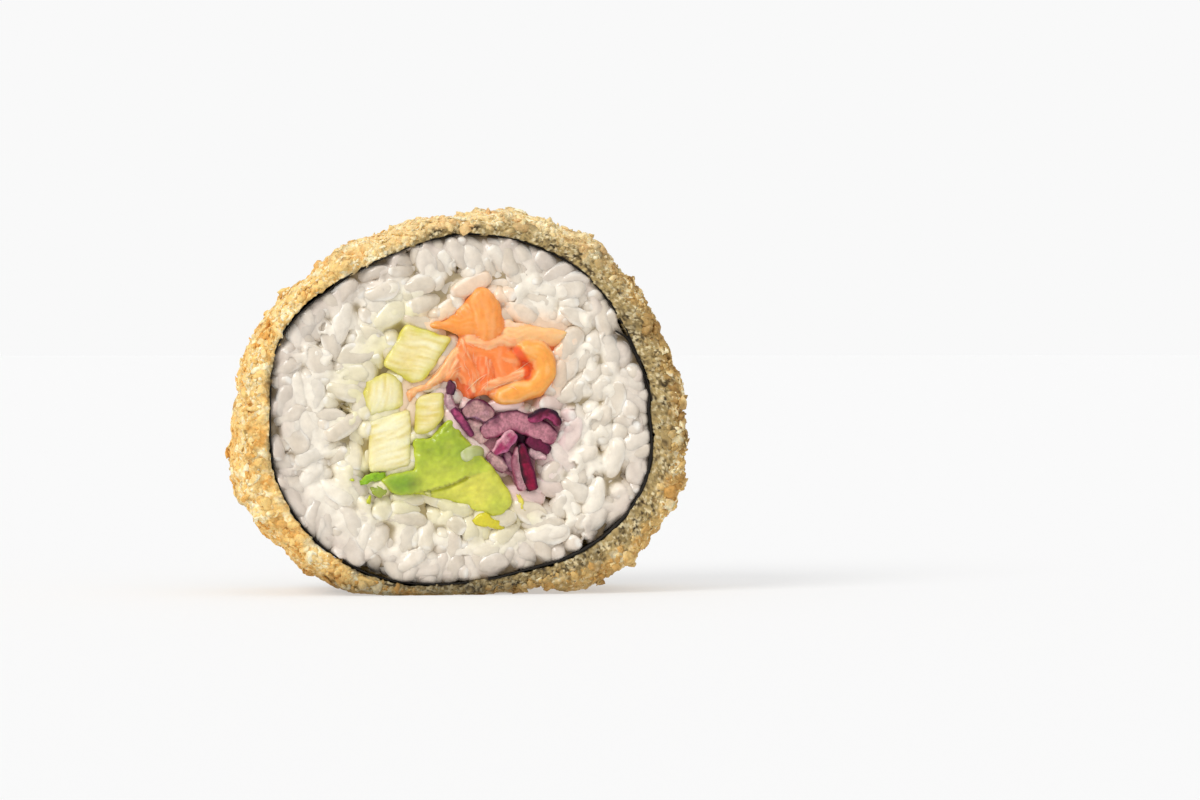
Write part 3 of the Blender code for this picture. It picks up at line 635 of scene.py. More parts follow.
rice = {
    "length": (5.8, 7.8),
    "width": (2.8, 3.9),
    "cell": 0.25,
    "reach": 33.0,
    "pitDepth": 1.7,
    "knifeRound": 0.08,
    "filmDepth": 0.1,
    "highest": 0.62,
    # Two layers of grains: the gap that takes no more, the depth, the rings and sides of a grain, the seed.
    "layers": {"riceGrains": (0.3, 0.0, (11, 14), 41), "riceGrainsUnder": (1.0, 1.3, (6, 8), 51)},
    # Grains that stand out on the cut face: middle, length, width and the way they point, in degrees.
    "seen": ((-16.9, -6.0, 6.9, 3.6, 92), (-29.3, -5.2, 5.0, 2.9, 90), (-28.3, -9.3, 4.8, 3.1, 5),
             (-23.8, -14.3, 6.2, 4.0, 68), (-8.1, -15.1, 6.4, 3.1, 2), (-12.4, -14.8, 5.6, 3.9, 60),
             (-12.7, -19.6, 7.0, 4.2, 58), (-10.8, -24.0, 4.7, 3.2, 72), (-5.1, -19.0, 6.6, 3.5, 86),
             (1.7, -18.0, 6.0, 3.7, 100), (8.2, -19.2, 7.5, 4.2, 25), (11.4, -22.6, 6.6, 4.0, -22),
             (16.3, -15.6, 6.1, 4.0, 72), (20.4, -10.0, 5.2, 3.5, 10), (24.2, -2.5, 6.2, 4.4, 60),
             (22.6, 3.7, 5.8, 3.4, 48), (19.8, 8.2, 7.6, 3.5, 64), (22.4, 12.0, 4.8, 3.0, 80),
             (-2.1, 23.5, 6.6, 3.4, -70), (-14.3, 22.1, 6.6, 2.9, 24), (28.4, 1.8, 6.2, 3.2, 82),
             (29.4, -7.3, 6.2, 3.1, -70), (25.3, -16.6, 6.4, 3.8, 40), (15.0, 24.0, 6.8, 3.5, -30),
             (6.6, 24.3, 7.2, 3.6, -58), (11.9, 18.9, 7.6, 4.4, -30), (-4.9, 17.6, 8.0, 4.2, 14),
             (25.6, 14.4, 5.8, 3.3, -58), (27.2, 8.6, 6.4, 3.6, -72)),
    # Gaps between the grains that reach down to shadow: middle and half the width.
    "gaps": ((-28.2, -5.7, 0.45), (-26.0, -17.2, 0.7), (-24.4, -19.7, 0.6), (-14.6, -25.2, 0.9), (-12.4, -26.0, 0.7),
             (-7.8, -21.2, 0.5), (-4.3, -14.8, 0.8), (0.9, -23.9, 0.6), (5.2, -19.8, 0.7), (19.3, -19.6, 0.6),
             (24.9, -19.0, 0.5), (14.4, -13.9, 0.6), (18.0, 4.4, 0.9), (20.2, 0.4, 0.6), (23.4, -5.2, 0.6),
             (24.4, 11.9, 0.5), (19.9, 18.1, 0.6), (13.9, 24.6, 0.5), (6.2, 24.0, 0.6), (-0.5, 23.6, 0.4),
             (-7.8, 25.4, 0.6), (-21.9, 11.7, 0.5), (-17.3, 12.4, 0.4), (-21.1, 0.2, 0.4), (-11.6, -14.4, 0.5)),
    # A grain that has come to lie on the avocado.
    "loose": ((2.3, -6.3, 5.2, 2.8, 12),),
}
# gap is painted shade for the pits and deep seams between the grains.
# rim is a painted highlight along the edge of each grain.
riceColors = colorSet(white="#f8eedd", clear="#dfd1bd", grey="#d6c6b8", green="#efe6b0", pink="#ecc8c6",
                      peach="#f7d0ac", gap="#988048", rim="#fffaf0", glassy="#b6bd74")


def riceGrid():
    steps = np.arange(-rice["reach"], rice["reach"] + 0.01, rice["cell"])
    return np.meshgrid(steps, steps, indexing="ij")


def riceRoom():
    # How much room there is at each place of the cut face: to the seaweed and to the fillings.
    tree = nodeTree("nori")
    turns = np.linspace(-math.pi, math.pi, 361)
    walls = np.array([wallRadius(tree, turn, 0, True) for turn in turns])
    outside = np.array([wallRadius(tree, turn, 0, False) for turn in turns])
    fromSeam = seaweed["seamAngle"] - np.degrees(turns)
    lapped = (fromSeam > 0) & (fromSeam < seaweed["lapAngle"])
    walls = np.where(lapped, outside - 2 * seaweed["lapDepth"] - seaweed["lapGap"], walls)
    walls = smoothed(walls, 5)
    x, z = riceGrid()
    spots = np.column_stack([x.ravel(), z.ravel()])
    toSheet = np.interp(np.arctan2(spots[:, 1], spots[:, 0]), turns, walls) - np.hypot(spots[:, 0], spots[:, 1])
    edges = {name: -edgeDistance(spots, outline).reshape(x.shape) for name, outline in fillingOutlines().items()}
    toSheet = toSheet.reshape(x.shape)
    return {"walls": walls, "turns": turns, "sheet": toSheet, "edges": edges,
            "room": np.minimum(toSheet, np.min(list(edges.values()), axis=0) + 0.25)}


def lookUp(field, x, z):
    column = np.clip(np.round((np.asarray(x) + rice["reach"]) / rice["cell"]).astype(int), 0, field.shape[0] - 1)
    row = np.clip(np.round((np.asarray(z) + rice["reach"]) / rice["cell"]).astype(int), 0, field.shape[1] - 1)
    return field[column, row]


def lookBetween(field, x, z):
    # The same with smooth steps between the places of the grid.
    across = np.clip((np.asarray(x) + rice["reach"]) / rice["cell"], 0, field.shape[0] - 1.001)
    up = np.clip((np.asarray(z) + rice["reach"]) / rice["cell"], 0, field.shape[1] - 1.001)
    column, row = across.astype(int), up.astype(int)
    across, up = across - column, up - row
    low = field[column, row] * (1 - across) + field[column + 1, row] * across
    high = field[column, row + 1] * (1 - across) + field[column + 1, row + 1] * across
    return low * (1 - up) + high * up


def packGrains(rng, space, gap, seen):
    # Fills the ring one grain at a time, each at the roomiest place and turned the way that fits best.
    x, z = riceGrid()
    free = space["room"].copy()
    taste = rng.uniform(0, 0.6, free.shape)
    grains = []

    def settle(middleX, middleZ, length, width, heading, shown, crowding):
        grains.append((middleX, middleZ, length, width, heading, shown, crowding))
        half = max(shown - width, 0.2) / 2
        offX, offZ = x - middleX, z - middleZ
        on = np.clip(offX * math.cos(heading) + offZ * math.sin(heading), -half, half)
        away = np.hypot(offX - on * math.cos(heading), offZ - on * math.sin(heading))
        return np.minimum(free, away - 0.34 * width)

    for middleX, middleZ, size in rice["gaps"]:
        free = np.minimum(free, np.hypot(x - middleX, z - middleZ) - size)
    for middleX, middleZ, length, width, turn in seen:
        free = settle(middleX, middleZ, length * 1.06, width, math.radians(turn), length, 0.0)
    reaches = np.array([-1, -0.5, 0, 0.5, 1])
    while len(grains) < 900:
        spot = np.argmax(np.where(free > gap, np.minimum(free, 1.5) + taste, -9))
        if free.flat[spot] <= gap:
            break
        length = rng.uniform(*rice["length"])
        width = rng.uniform(*rice["width"])
        headings = rng.uniform(0, math.pi) + np.arange(8) * math.pi / 8
        lengths = np.array([1.0, 0.88, 0.76]) * length
        slides = np.array([-0.3, 0, 0.3])
        heading, shown, slide = (part.ravel() for part in np.meshgrid(headings, lengths, slides, indexing="ij"))
        middleX = x.flat[spot] + slide * shown * np.cos(heading)
        middleZ = z.flat[spot] + slide * shown * np.sin(heading)
        half = np.maximum(shown - width, 0.2) / 2
        discX = middleX[:, None] + half[:, None] * reaches * np.cos(heading)[:, None]
        discZ = middleZ[:, None] + half[:, None] * reaches * np.sin(heading)[:, None]
        size = width / 2 * np.array([0.8, 0.97, 1, 0.97, 0.8])
        crowding = np.maximum(size - lookUp(free, discX, discZ), 0).sum(axis=1)
        crowding += 3 * np.maximum(size - 0.15 - lookUp(space["sheet"], discX, discZ), 0).sum(axis=1)
        along = np.abs(np.sin(heading - np.arctan2(middleZ, middleX)))
        nearSheet = ease(4.5, 1.5, lookUp(space["sheet"], middleX, middleZ))
        score = 0.4 * shown - 0.7 * crowding + 0.8 * along * nearSheet + rng.uniform(0, 0.25, len(heading))
        best = np.argmax(score)
        free = settle(middleX[best], middleZ[best], length, width, heading[best], shown[best], crowding[best])
    return np.array(grains)


def grainShape(rings, sides):
    # A plump grain along x with a blunt end and a finer end, one unit long each way.
    leans = np.linspace(0, math.pi, rings + 2)[1:-1]
    # Most of its sides are where it shows, and closest together where a knife's cut starts.
    shown = np.linspace(0, math.pi, sides - 2)
    turns = np.concatenate([shown - 0.2 * np.sin(2 * shown), [1.25 * math.pi, 1.75 * math.pi]])
    lean, turn = np.meshgrid(leans, turns, indexing="ij")
    girth = np.sin(lean) ** 0.8 * (1 - 0.14 * np.cos(lean))
    points = np.stack([np.cos(lean), girth * np.cos(turn), girth * np.sin(turn)], axis=-1).reshape(-1, 3)
    points = np.vstack([points, [[1, 0, 0], [-1, 0, 0]]])
    triangles = [splitQuads(gridQuads(rings, sides, wrapColumns=True))]
    first = np.arange(sides)
    after = (first + 1) % sides
    last = (rings - 1) * sides
    triangles.append(np.stack([after, first, np.full(sides, rings * sides)], axis=1))
    triangles.append(np.stack([first + last, after + last, np.full(sides, rings * sides + 1)], axis=1))
    return points, np.vstack(triangles)


def riceTint(x, z, space):
    # Juice from each filling tints the grains beside it, and those by the seaweed look greyer.
    color = np.tile(riceColors["white"], (len(x), 1))
    color = blendColors(color, riceColors["grey"], ease(5.5, 0.3, lookUp(space["sheet"], x, z)) * 0.85)
    green = ("avocado", "cucumber_lower", "cucumber_left", "cucumber_top")
    for name, sources, reach, strength in (("green", green, 8.0, 0.75), ("peach", ("salmon",), 3.6, 0.8),
                                           ("pink", ("red_cabbage",), 4.6, 0.85)):
        near = np.min([lookUp(space["edges"][source], x, z) for source in sources], axis=0)
        color = blendColors(color, riceColors[name], ease(reach, 0.3, near) * strength)
    return color


def makeGrains(side, space, gap, sink, detail, seed):
    # Grains on one cut face. The knife has cut the tops of some of them flat.
    numbers = np.random.default_rng(seed)
    shape, triangles = grainShape(*detail)
    front = side < 0 and sink == 0
    grains = packGrains(numbers, space, gap, rice["seen"] if front else ())
    loose = [(*grain[:4], math.radians(grain[4]), grain[2] * 0.94, 0.0) for grain in rice["loose"] if front]
    grains = np.vstack([grains, *loose])
    x, z, length, width, heading, shown, crowding = grains.T
    count = len(x)
    onTop = np.arange(count) >= count - len(loose)
    lean = np.arccos(np.clip((shown - width) / (length - width), 0.12, 0.995)) * numbers.choice((-1, 1), count)
    along = np.column_stack([np.cos(heading) * np.cos(lean), np.sin(lean), np.sin(heading) * np.cos(lean)])
    across = np.column_stack([-np.sin(heading), np.zeros(count), np.cos(heading)])
    deep = np.cross(along, across)
    thick = width * numbers.uniform(0.42, 0.5, count)
    matrices = np.stack([along * (length / 2)[:, None], across * (width / 2)[:, None], deep * thick[:, None]], axis=2)
    rise = np.abs(np.sin(lean)) * length / 2
    level = sink - 0.35 + numbers.uniform(-0.3, 0.3, count) + 0.5 * ease(0.8, 3.5, crowding) - 0.75 * onTop
    depth = level + 0.9 * thick + 0.6 * rise
    places = np.column_stack([x, depth - faceDepth, z])
    bent = shape[None].repeat(count, axis=0)
    bent[:, :, 1] += numbers.uniform(-0.2, 0.2, count)[:, None] * (1 - bent[:, :, 0] ** 2)
    points = np.einsum("nij,nvj->nvi", matrices, bent) + places[:, None, :]
    flat = points.reshape(-1, 3)
    own = flat + np.repeat(np.arange(count) * 5.3, len(shape))[:, None]
    flat += across.repeat(len(shape), axis=0) * (0.26 * softNoise(own, 1.9, 31))[:, None]
    flat += deep.repeat(len(shape), axis=0) * (0.18 * softNoise(own, 1.4, 32))[:, None]
    points = flat.reshape(count, -1, 3)
    tilt = numbers.normal(0, 0.15, (count, 2))
    offset = points - places[:, None, :]
    cut = np.where(onTop, 0.8, numbers.uniform(-0.45, 0.2, count) + 0.5 * (numbers.random(count) < 0.25) - sink)
    knife = cut[:, None] + tilt[:, :1] * offset[:, :, 0] + tilt[:, 1:] * offset[:, :, 2]
    knife = faceDepth + np.minimum(knife, np.maximum(rice["highest"], cut)[:, None])
    over = (knife + points[:, :, 1]) / rice["knifeRound"]
    points[:, :, 1] = -(knife - rice["knifeRound"] * np.logaddexp(0, over))
    radius = np.hypot(points[:, :, 0], points[:, :, 2])
    limit = np.interp(np.arctan2(points[:, :, 2], points[:, :, 0]), space["turns"], space["walls"]) + 0.08
    squeeze = np.minimum(1, limit / radius)
    points[:, :, 0] *= squeeze
    points[:, :, 2] *= squeeze
    tint = blendColors(riceTint(x, z, space), riceColors["clear"], numbers.random(count) ** 1.5 * 0.9)
    tint *= numbers.uniform(0.94, 1.05, count)[:, None]
    tint[onTop] = riceColors["glassy"]
    # Each grain is clearer inside and whiter in cloudy spots, as starch is. The white along its rim is a
    # painted highlight, where the edge of the translucent grain catches the light.
    rim = np.maximum(ease(0.6, 1.0, np.abs(bent[:, :, 1])), ease(0.86, 1.0, np.abs(bent[:, :, 0])))
    cloud = softNoise(own, 1.3, 38).reshape(count, -1)
    share = np.where(onTop, 0.3, 0.75)[:, None] * rim + 0.2 * cloud
    tint = blendColors(tint[:, None, :] * (0.95 + 0.07 * cloud)[:, :, None], riceColors["rim"], share)
    points[:, :, 1] *= -side
    starts = np.arange(count)[:, None, None] * len(shape)
    triangles = (triangles[None] + starts).reshape(-1, 3)
    relief = grainRelief(x, z, shown, width, heading, lean, thick, depth, cut)
    return points.reshape(-1, 3), triangles[:, ::side], tint.reshape(-1, 3), relief


def grainRelief(*grains):
    # How high the grains stand against the cut face, for the starch that fills the seams between them.
    gridX, gridZ = riceGrid()
    relief = np.full(gridX.shape, -1.5)
    for x, z, shown, width, heading, lean, thick, depth, cut in zip(*grains):
        offX, offZ = gridX - x, gridZ - z
        a = offX * math.cos(heading) + offZ * math.sin(heading)
        b = offZ * math.cos(heading) - offX * math.sin(heading)
        inside = 1 - (2 * a / shown) ** 2 - (2 * b / width) ** 2
        top = np.minimum(thick * np.sqrt(np.maximum(inside, 0)) - depth - a * math.tan(lean), cut)
        relief = np.where(inside > 0, np.maximum(relief, top), relief)
    for _ in range(3):
        relief = (relief + np.roll(relief, 1, axis=0) + np.roll(relief, -1, axis=0)) / 3
        relief = (relief + np.roll(relief, 1, axis=1) + np.roll(relief, -1, axis=1)) / 3
    return relief


def makeRice():
    space = riceRoom()
    material = steamedRice()
    around = np.column_stack([np.cos(space["turns"]), np.sin(space["turns"])])
    outline = ((space["walls"] + 0.15)[:, None] * around)[:-1:2]
    inFilling = -np.min(list(space["edges"].values()), axis=0)

    reliefs = {}
    pieces = []
    for name, (gap, sink, detail, seed) in rice["layers"].items():
        shapes = {side: makeGrains(side, space, gap, sink, detail, seed + side) for side in (-1, 1)}
        reliefs = reliefs or {side: shape[3] for side, shape in shapes.items()}
        pieces.append((name, joinParts([shape[:3] for shape in shapes.values()])))

    def placeOf(spots, side):
        # The third number keeps the noise of the two faces apart.
        return np.column_stack([spots, np.full(len(spots), side * 9.0)])

    def pits(spots, side):
        place = placeOf(spots, side)
        share = ease(0.6, 0.68, softNoise(place, 1.7, 33) + 0.35 * softNoise(place, 0.8, 36))
        ragged = 0.4 * softNoise(place, 1.1, 39)
        for x, z, size in rice["gaps"]:
            away = np.hypot(spots[:, 0] - x, spots[:, 1] - z) + ragged
            share = np.maximum(share, ease(size + 0.5, size + 0.25, away))
        return share

    def coreHeight(spots, side):
        ripple = 0.06 * softNoise(placeOf(spots, side), 0.9, 37)
        height = lookBetween(reliefs[side], *spots.T) - rice["filmDepth"] + ripple
        height = height - rice["pitDepth"] * pits(spots, side)
        return height - 4 * ease(0.2, 1.4, lookBetween(inFilling, *spots.T))

    points, triangles, spots = fillOutline(outline, meshSpacing["rice"], coreHeight, 34)
    deep = onBothFaces(lambda part, side: lookBetween(reliefs[side], *part.T), spots)
    pit = onBothFaces(pits, spots)
    tint = riceTint(spots[:, 0], spots[:, 1], space)
    # Painted shade: the pits and the deep seams between the grains are painted dark brown.
    share = np.maximum(pit, 0.8 * ease(-0.6, -1.4, deep))
    tint = blendColors(tint, tint * riceColors["gap"] / riceColors["white"], share)
    placePiece("riceCore", points, triangles, np.clip(tint, 0, 1), material, ["rice"], "sushi_rice")
    for name, grains in pieces:
        placePiece(name, *grains, material, ["rice"], "sushi_rice")


# The fillings

cucumbers = {
    "cucumber_top": {"corners": ((-8.7, 14.5), (-12.6, 7.9), (-7.7, 4.8), (-5.7, 5.2), (-1.1, 12.1)),
                     "streak": -12.0, "lift": 0.35, "green": 0.75},
    "cucumber_left": {"corners": ((-15.1, 5.5), (-15.7, 2.4), (-14.6, -0.6), (-9.0, 1.0), (-9.3, 5.2), (-11.5, 6.6)),
                      "streak": 82.0, "lift": 0.15, "green": 0.6},
    "cucumber_lower": {"corners": ((-14.7, -1.1), (-14.6, -9.7), (-7.9, -8.5), (-8.0, 0.8)),
                       "streak": 20.0, "lift": 0.25, "green": 0.15},
    "cucumber_right": {"corners": ((-7.2, 2.7), (-7.4, -3.6), (-4.7, -3.1), (-2.5, -0.8), (-2.5, 3.5)),
                       "streak": 4.0, "lift": 0.0, "green": 0.6},
}
cucumberColors = colorSet(pale="#fff6d0", flesh="#eed888", edge="#d8d43e", line="#dcc868", ochre="#c09838")

avocado = {
    "outline": ((-7.3, -4.2), (-7.3, -8.5), (-8.4, -9.3), (-11.1, -9.8), (-12.6, -10.9), (-10.3, -12.9),
                (-5.6, -13.3), (-1.8, -13.9), (1.6, -15.1), (4.9, -16.6), (7.2, -16.1), (8.5, -14.1),
                (6.9, -10.7), (4.3, -7.5), (1.2, -4.5), (-0.7, -1.8), (-1.9, -1.0), (-4.6, -3.9)),
    "crease": ((-9.5, -13.2), (-4.9, -12.3), (-1.4, -11.3), (0.8, -10.3)),
    "skinSide": ((-7.3, -4.2), (-4.6, -3.9), (-1.9, -1.0), (-0.7, -1.8), (1.2, -4.5)),
    # Bits that have come off between the grains: middle, length, width, way they point, colour.
    "bits": ((-14.4, -10.4, 3.4, 1.5, 18, "#8fbc1c"), (-13.0, -12.7, 2.4, 1.3, -25, "#9aa840"),
             (-14.8, -14.3, 1.6, 0.6, 80, "#c6cc2c"), (4.7, -17.6, 3.2, 2.0, -30, "#dccf30"),
             (10.0, -14.6, 2.6, 0.9, -70, "#ebdc58"), (-17.4, -10.6, 0.9, 0.5, 0, "#c3cf3a"),
             (-5.0, -12.9, 1.1, 0.9, 20, "#dfe08a")),
}
avocadoColors = colorSet(green="#9fb42e", mid="#c3cb48", yellow="#e4d95c", dark="#6b9a1e", bruise="#6f6a34",
                         lime="#d2dc3c")

salmon = {
    "outline": ((1.0, 18.4), (-1.8, 15.4), (-4.6, 14.6), (-4.5, 13.9), (-1.1, 13.0), (-0.2, 11.9),
                (-2.7, 8.5), (-5.3, 4.9), (-8.5, 3.9), (-8.5, 1.9), (-7.8, 1.8), (-6.7, 3.4), (-4.4, 4.0),
                (-2.3, 4.8), (-1.2, 4.3), (-0.3, 3.2), (1.3, 2.0), (3.9, 3.0), (6.1, 1.7), (8.4, 1.4),
                (11.6, 2.2), (14.0, 3.2), (15.7, 5.3), (15.6, 7.7), (15.9, 10.5), (17.5, 13.1), (14.1, 13.8),
                (10.5, 14.5), (7.9, 15.3), (6.6, 17.5), (5.1, 19.7), (2.9, 20.2)),
    "base": -0.75,
    # Each flake is a rounded ridge along a line: half its width, its height, its colour, how fibrous it is.
    "flakes": (
        (((-3.8, 14.2), (0.8, 14.3), (5.4, 13.9)), 1.9, 0.55, "#ff9f48", 0.35),
        (((4.3, 14.4), (3.9, 18.2)), 3.0, 0.8, "#ffa04c", 0.3),
        (((0.8, 16.4), (2.2, 15.2)), 1.9, 0.35, "#ffa452", 0.4),
        (((1.6, 12.0), (4.6, 11.3), (9.0, 12.2)), 1.25, 0.4, "#ffb67e", 0.9),
        (((8.4, 12.7), (12.5, 12.6), (17.0, 13.1)), 1.9, 0.35, "#fdc282", 0.5),
        (((8.0, 14.5), (11.0, 14.7)), 1.4, -0.05, "#fad0ac", 0.4),
        (((0.8, 11.0), (4.5, 9.8), (8.4, 8.8)), 1.9, 0.2, "#ff8b40", 0.4),
        (((6.6, 9.4), (7.6, 6.6)), 2.5, 0.2, "#ff8a44", 0.25),
        (((0.4, 10.6), (1.0, 7.6), (2.6, 4.6)), 1.9, 0.3, "#f98d4c", 1.1),
        (((3.8, 8.6), (4.3, 5.6), (3.6, 3.2)), 1.9, 0.25, "#f98040", 1.0),
        (((4.4, 4.2), (7.4, 5.5), (10.8, 6.4)), 1.0, 0.5, "#ffa76c", 1.0),
        (((5.8, 3.2), (9.0, 3.6)), 1.3, 0.15, "#fd944a", 0.8),
        (((-0.6, 10.0), (-2.8, 6.6), (-5.0, 4.6), (-8.2, 3.0)), 1.3, 0.25, "#ffb87c", 0.9),
        (((-0.2, 8.0), (-1.6, 5.9)), 1.2, 0.3, "#f79a5c", 1.1),
        (((-8.1, 3.4), (-8.2, 2.2)), 0.8, 0.2, "#f6ac72", 0.6),
        (((1.4, 6.6), (2.0, 3.4)), 1.5, 0.1, "#ea6c3c", 1.1),
    ),
    "curl": ((10.7, 10.2), (12.9, 9.4), (14.05, 7.2), (12.9, 4.9), (10.4, 3.7), (7.4, 2.6)),
    "curlWidth": 1.8,
    "curlLift": 0.95,
    "hollow": ((9.2, 10.2), (10.3, 8.8), (11.1, 7.2), (11.0, 5.9)),
    "hollowWidth": 0.95,
    "hollowDepth": 0.35,
    "threads": (((11.4, 8.3), (10.0, 7.3), (8.7, 6.6)), ((-2.6, 11.6), (-1.2, 12.0), (-0.2, 11.3)),
                ((1.0, 3.6), (2.6, 5.2), (4.4, 6.4)), ((4.6, 3.6), (6.6, 4.6), (8.8, 5.0)),
                ((-5.4, 5.6), (-3.8, 6.6), (-2.6, 8.2))),
}
salmonColors = colorSet(curl="#ffaf50", hollow="#f06a38", base="#ee7438", fat="#ffd6a8", thread="#ffc694")

cabbage = {
    "outline": ((-2.1, 4.2), (-2.15, 1.6), (-1.4, -0.2), (1.05, -3.1), (2.7, -4.0), (4.8, -6.6), (6.7, -9.3),
                (8.5, -10.2), (9.6, -12.6), (12.6, -12.7), (12.4, -9.7), (12.4, -7.5), (14.3, -7.1),
                (15.7, -4.0), (16.6, -1.6), (15.4, -0.2), (13.4, 0.5), (11.1, 0.0), (8.6, 0.6), (5.5, 0.4),
                (3.9, 2.1), (2.1, 1.5), (0.2, 1.1), (-1.2, 3.5)),
    # Each shred: its middle line with its width there, how far it stands up, its flesh and its two skins.
    "shreds": (
        (((-1.7, 5.3, 0.8), (-1.4, 4.3, 1.5), (-1.6, 3.0, 1.2)), 0.4, "#6b3448", "#34122a", "#5a2a40"),
        (((-1.7, 3.3, 1.2), (-1.75, 1.9, 1.7), (-0.9, 0.4, 1.4)), 0.2, "#d2b2b2", "#94646f", "#a47a84"),
        (((-1.2, 0.9, 1.0), (-0.2, -0.6, 1.3), (1.0, -2.2, 1.25), (2.1, -3.7, 0.9)),
         0.35, "#a8466c", "#551b3c", "#6a2a4c"),
        (((0.6, -0.2, 2.0), (2.3, 0.7, 3.0), (3.9, 0.3, 3.0), (5.2, -1.0, 2.2)), 0.0, "#b88a88", "#561c3a", "#a0708a"),
        (((0.9, -1.6, 1.8), (2.9, -2.8, 2.8), (4.3, -4.6, 2.2)), -0.35, "#cba59e", "#a9787c", "#b98d8c"),
        (((3.6, -3.4, 2.2), (5.4, -2.4, 3.2), (8.4, -1.2, 3.4), (10.9, -1.9, 3.2), (13.4, -3.0, 3.5),
          (15.6, -4.4, 2.2)),
         0.25, "#b87a86", "#46102e", "#8a3c58"),
        (((11.0, -0.9, 1.0), (12.2, -0.7, 1.6), (13.7, 0.0, 1.8), (15.2, -0.5, 1.8), (16.2, -2.0, 1.2)),
         0.75, "#5c142e", "#240820", "#a03e66"),
        (((8.9, -3.1, 1.8), (8.0, -4.0, 2.3), (6.9, -5.3, 2.1), (5.5, -6.5, 1.3)),
         0.6, "#9c355c", "#b4688a", "#d29aa4"),
        (((10.9, -4.2, 1.4), (12.6, -5.0, 2.2), (14.7, -6.2, 1.6)), 0.25, "#66183a", "#400e2a", "#5c1c38"),
        (((11.3, -6.0, 1.0), (12.6, -6.6, 1.8), (14.2, -7.3, 1.0)), 0.0, "#d6b3b2", "#9a7078", "#b88e94"),
        (((4.6, -6.5, 1.4), (6.0, -7.8, 2.4), (7.6, -9.2, 1.6)), 0.05, "#c39c97", "#5f2a44", "#7a4458"),
        (((7.6, -6.2, 1.4), (8.2, -8.0, 1.6), (8.6, -9.4, 1.0)), -0.15, "#a67580", "#5f2a44", "#5f2a44"),
        (((9.4, -5.4, 0.9), (9.2, -7.6, 1.7), (9.6, -9.8, 1.9), (10.3, -12.5, 1.6)),
         0.3, "#b98a90", "#c09a9c", "#8a4458"),
        (((9.9, -4.9, 1.1), (10.5, -7.6, 2.0), (11.1, -9.8, 2.2), (11.9, -12.5, 2.0)),
         0.5, "#860e36", "#520c30", "#2c0818"),
    ),
    "cavity": ((7.4, -3.1), (9.2, -3.3), (10.6, -4.4), (10.4, -5.2)),
    # How far the core under the shreds stays below the cut face.
    "coreSink": 0.7,
}
# hollow is painted shade for the cavity between the shreds.
cabbageColors = colorSet(flesh="#94626a", hollow="#5e2444")


def roundedCorners(corners, radius, pieces=4):
    corners = np.asarray(corners, float)
    loop = []
    for before, corner, after in zip(np.roll(corners, 1, axis=0), corners, np.roll(corners, -1, axis=0)):
        start = corner + (before - corner) / np.linalg.norm(before - corner) * radius
        end = corner + (after - corner) / np.linalg.norm(after - corner) * radius
        for share in np.linspace(0, 1, pieces):
            loop.append((1 - share) ** 2 * start + 2 * share * (1 - share) * corner + share ** 2 * end)
    return np.array(loop)


def facePoints(spots, side):
    return np.column_stack([spots[:, 0], np.full(len(spots), side * 11.0), spots[:, 1]])


def denseLoop(loop, spacing):
    # Extra points along the long sides, so that the rim has as fine a mesh as the face.
    dense = []
    for start, end in zip(loop, np.roll(loop, -1, axis=0)):
        pieces = max(1, int(round(np.linalg.norm(end - start) / spacing)))
        dense += [start + (end - start) * piece / pieces for piece in range(pieces)]
    return np.array(dense)


def unevenLoop(loop, spacing, amount, size, seeds):
    # No knife leaves an even edge: each point is moved a little.
    dense = denseLoop(loop, spacing)
    return dense + amount * np.column_stack([softNoise(facePoints(dense, 1), size, seed) for seed in seeds])


def fillingOutlines():
    outlines = {name: roundedCorners(look["corners"], 0.9) for name, look in cucumbers.items()}
    outlines["avocado"] = smoothLine(avocado["outline"], 4, closed=True)
    outlines["salmon"] = smoothLine(salmon["outline"], 4, closed=True)
    outlines["red_cabbage"] = np.array(cabbage["outline"])
    return outlines


def makeCucumbers(outlines):
    material = wetFlesh("cucumberFlesh", 0.5, 0.04, Roughness=0.28, Subsurface_Weight=0.45,
                        Subsurface_Scale=1.8 * mm, Subsurface_Radius=(1.0, 1.0, 0.45), Coat_Weight=0.15)
    for name, look in cucumbers.items():
        outline = unevenLoop(outlines[name], 0.3, 0.12, 1.1, (68, 69))
        turn = math.radians(look["streak"])
        way = np.array([math.cos(turn), math.sin(turn)])

        def streaks(spots, side):
            along = spots @ way
            across = spots @ np.array([-way[1], way[0]])
            place = np.column_stack([along / 7, across + 0.12 * np.sin(along), np.full(len(spots), side * 3.0)])
            return softNoise(place, 0.28, 61) * 0.75 + softNoise(place, 0.7, 62) * 0.45

        def heightOf(spots, side):
            edge = edgeDistance(spots, outline)
            place = facePoints(spots, side)
            height = look["lift"] + 0.08 * streaks(spots, side) + 0.35 * softNoise(place, 4.0, 63)
            height += 0.08 * softNoise(place, 0.8, 66)
            return height - 0.5 * np.exp(-edge / 0.3)

        points, triangles, spots = fillOutline(outline, meshSpacing["cucumber"], heightOf, 64)
        place = facePoints(spots, 1)
        edge = np.maximum(edgeDistance(spots, outline) + 0.4 * softNoise(place, 1.4, 65), 0)
        streak = streaks(spots, -1)
        light = 0.72 + 0.6 * streak - 0.25 * look["green"] + 0.3 * softNoise(place, 4.0, 67)
        colors = blendColors(cucumberColors["flesh"], cucumberColors["pale"], light)
        colors = blendColors(colors, cucumberColors["line"], ease(-0.2, -0.7, streak) * 0.3)
        colors = blendColors(colors, cucumberColors["edge"], np.exp(-edge / 0.8) * (0.15 + look["green"]))
        turned = np.exp(-edge) * ease(0.2, 1.0, softNoise(place, 5.0, 60) + 0.5)
        colors = blendColors(colors, cucumberColors["ochre"], turned * 0.25)
        placePiece(name + "Stick", points, triangles, colors, material, [name], "cucumber_flesh")


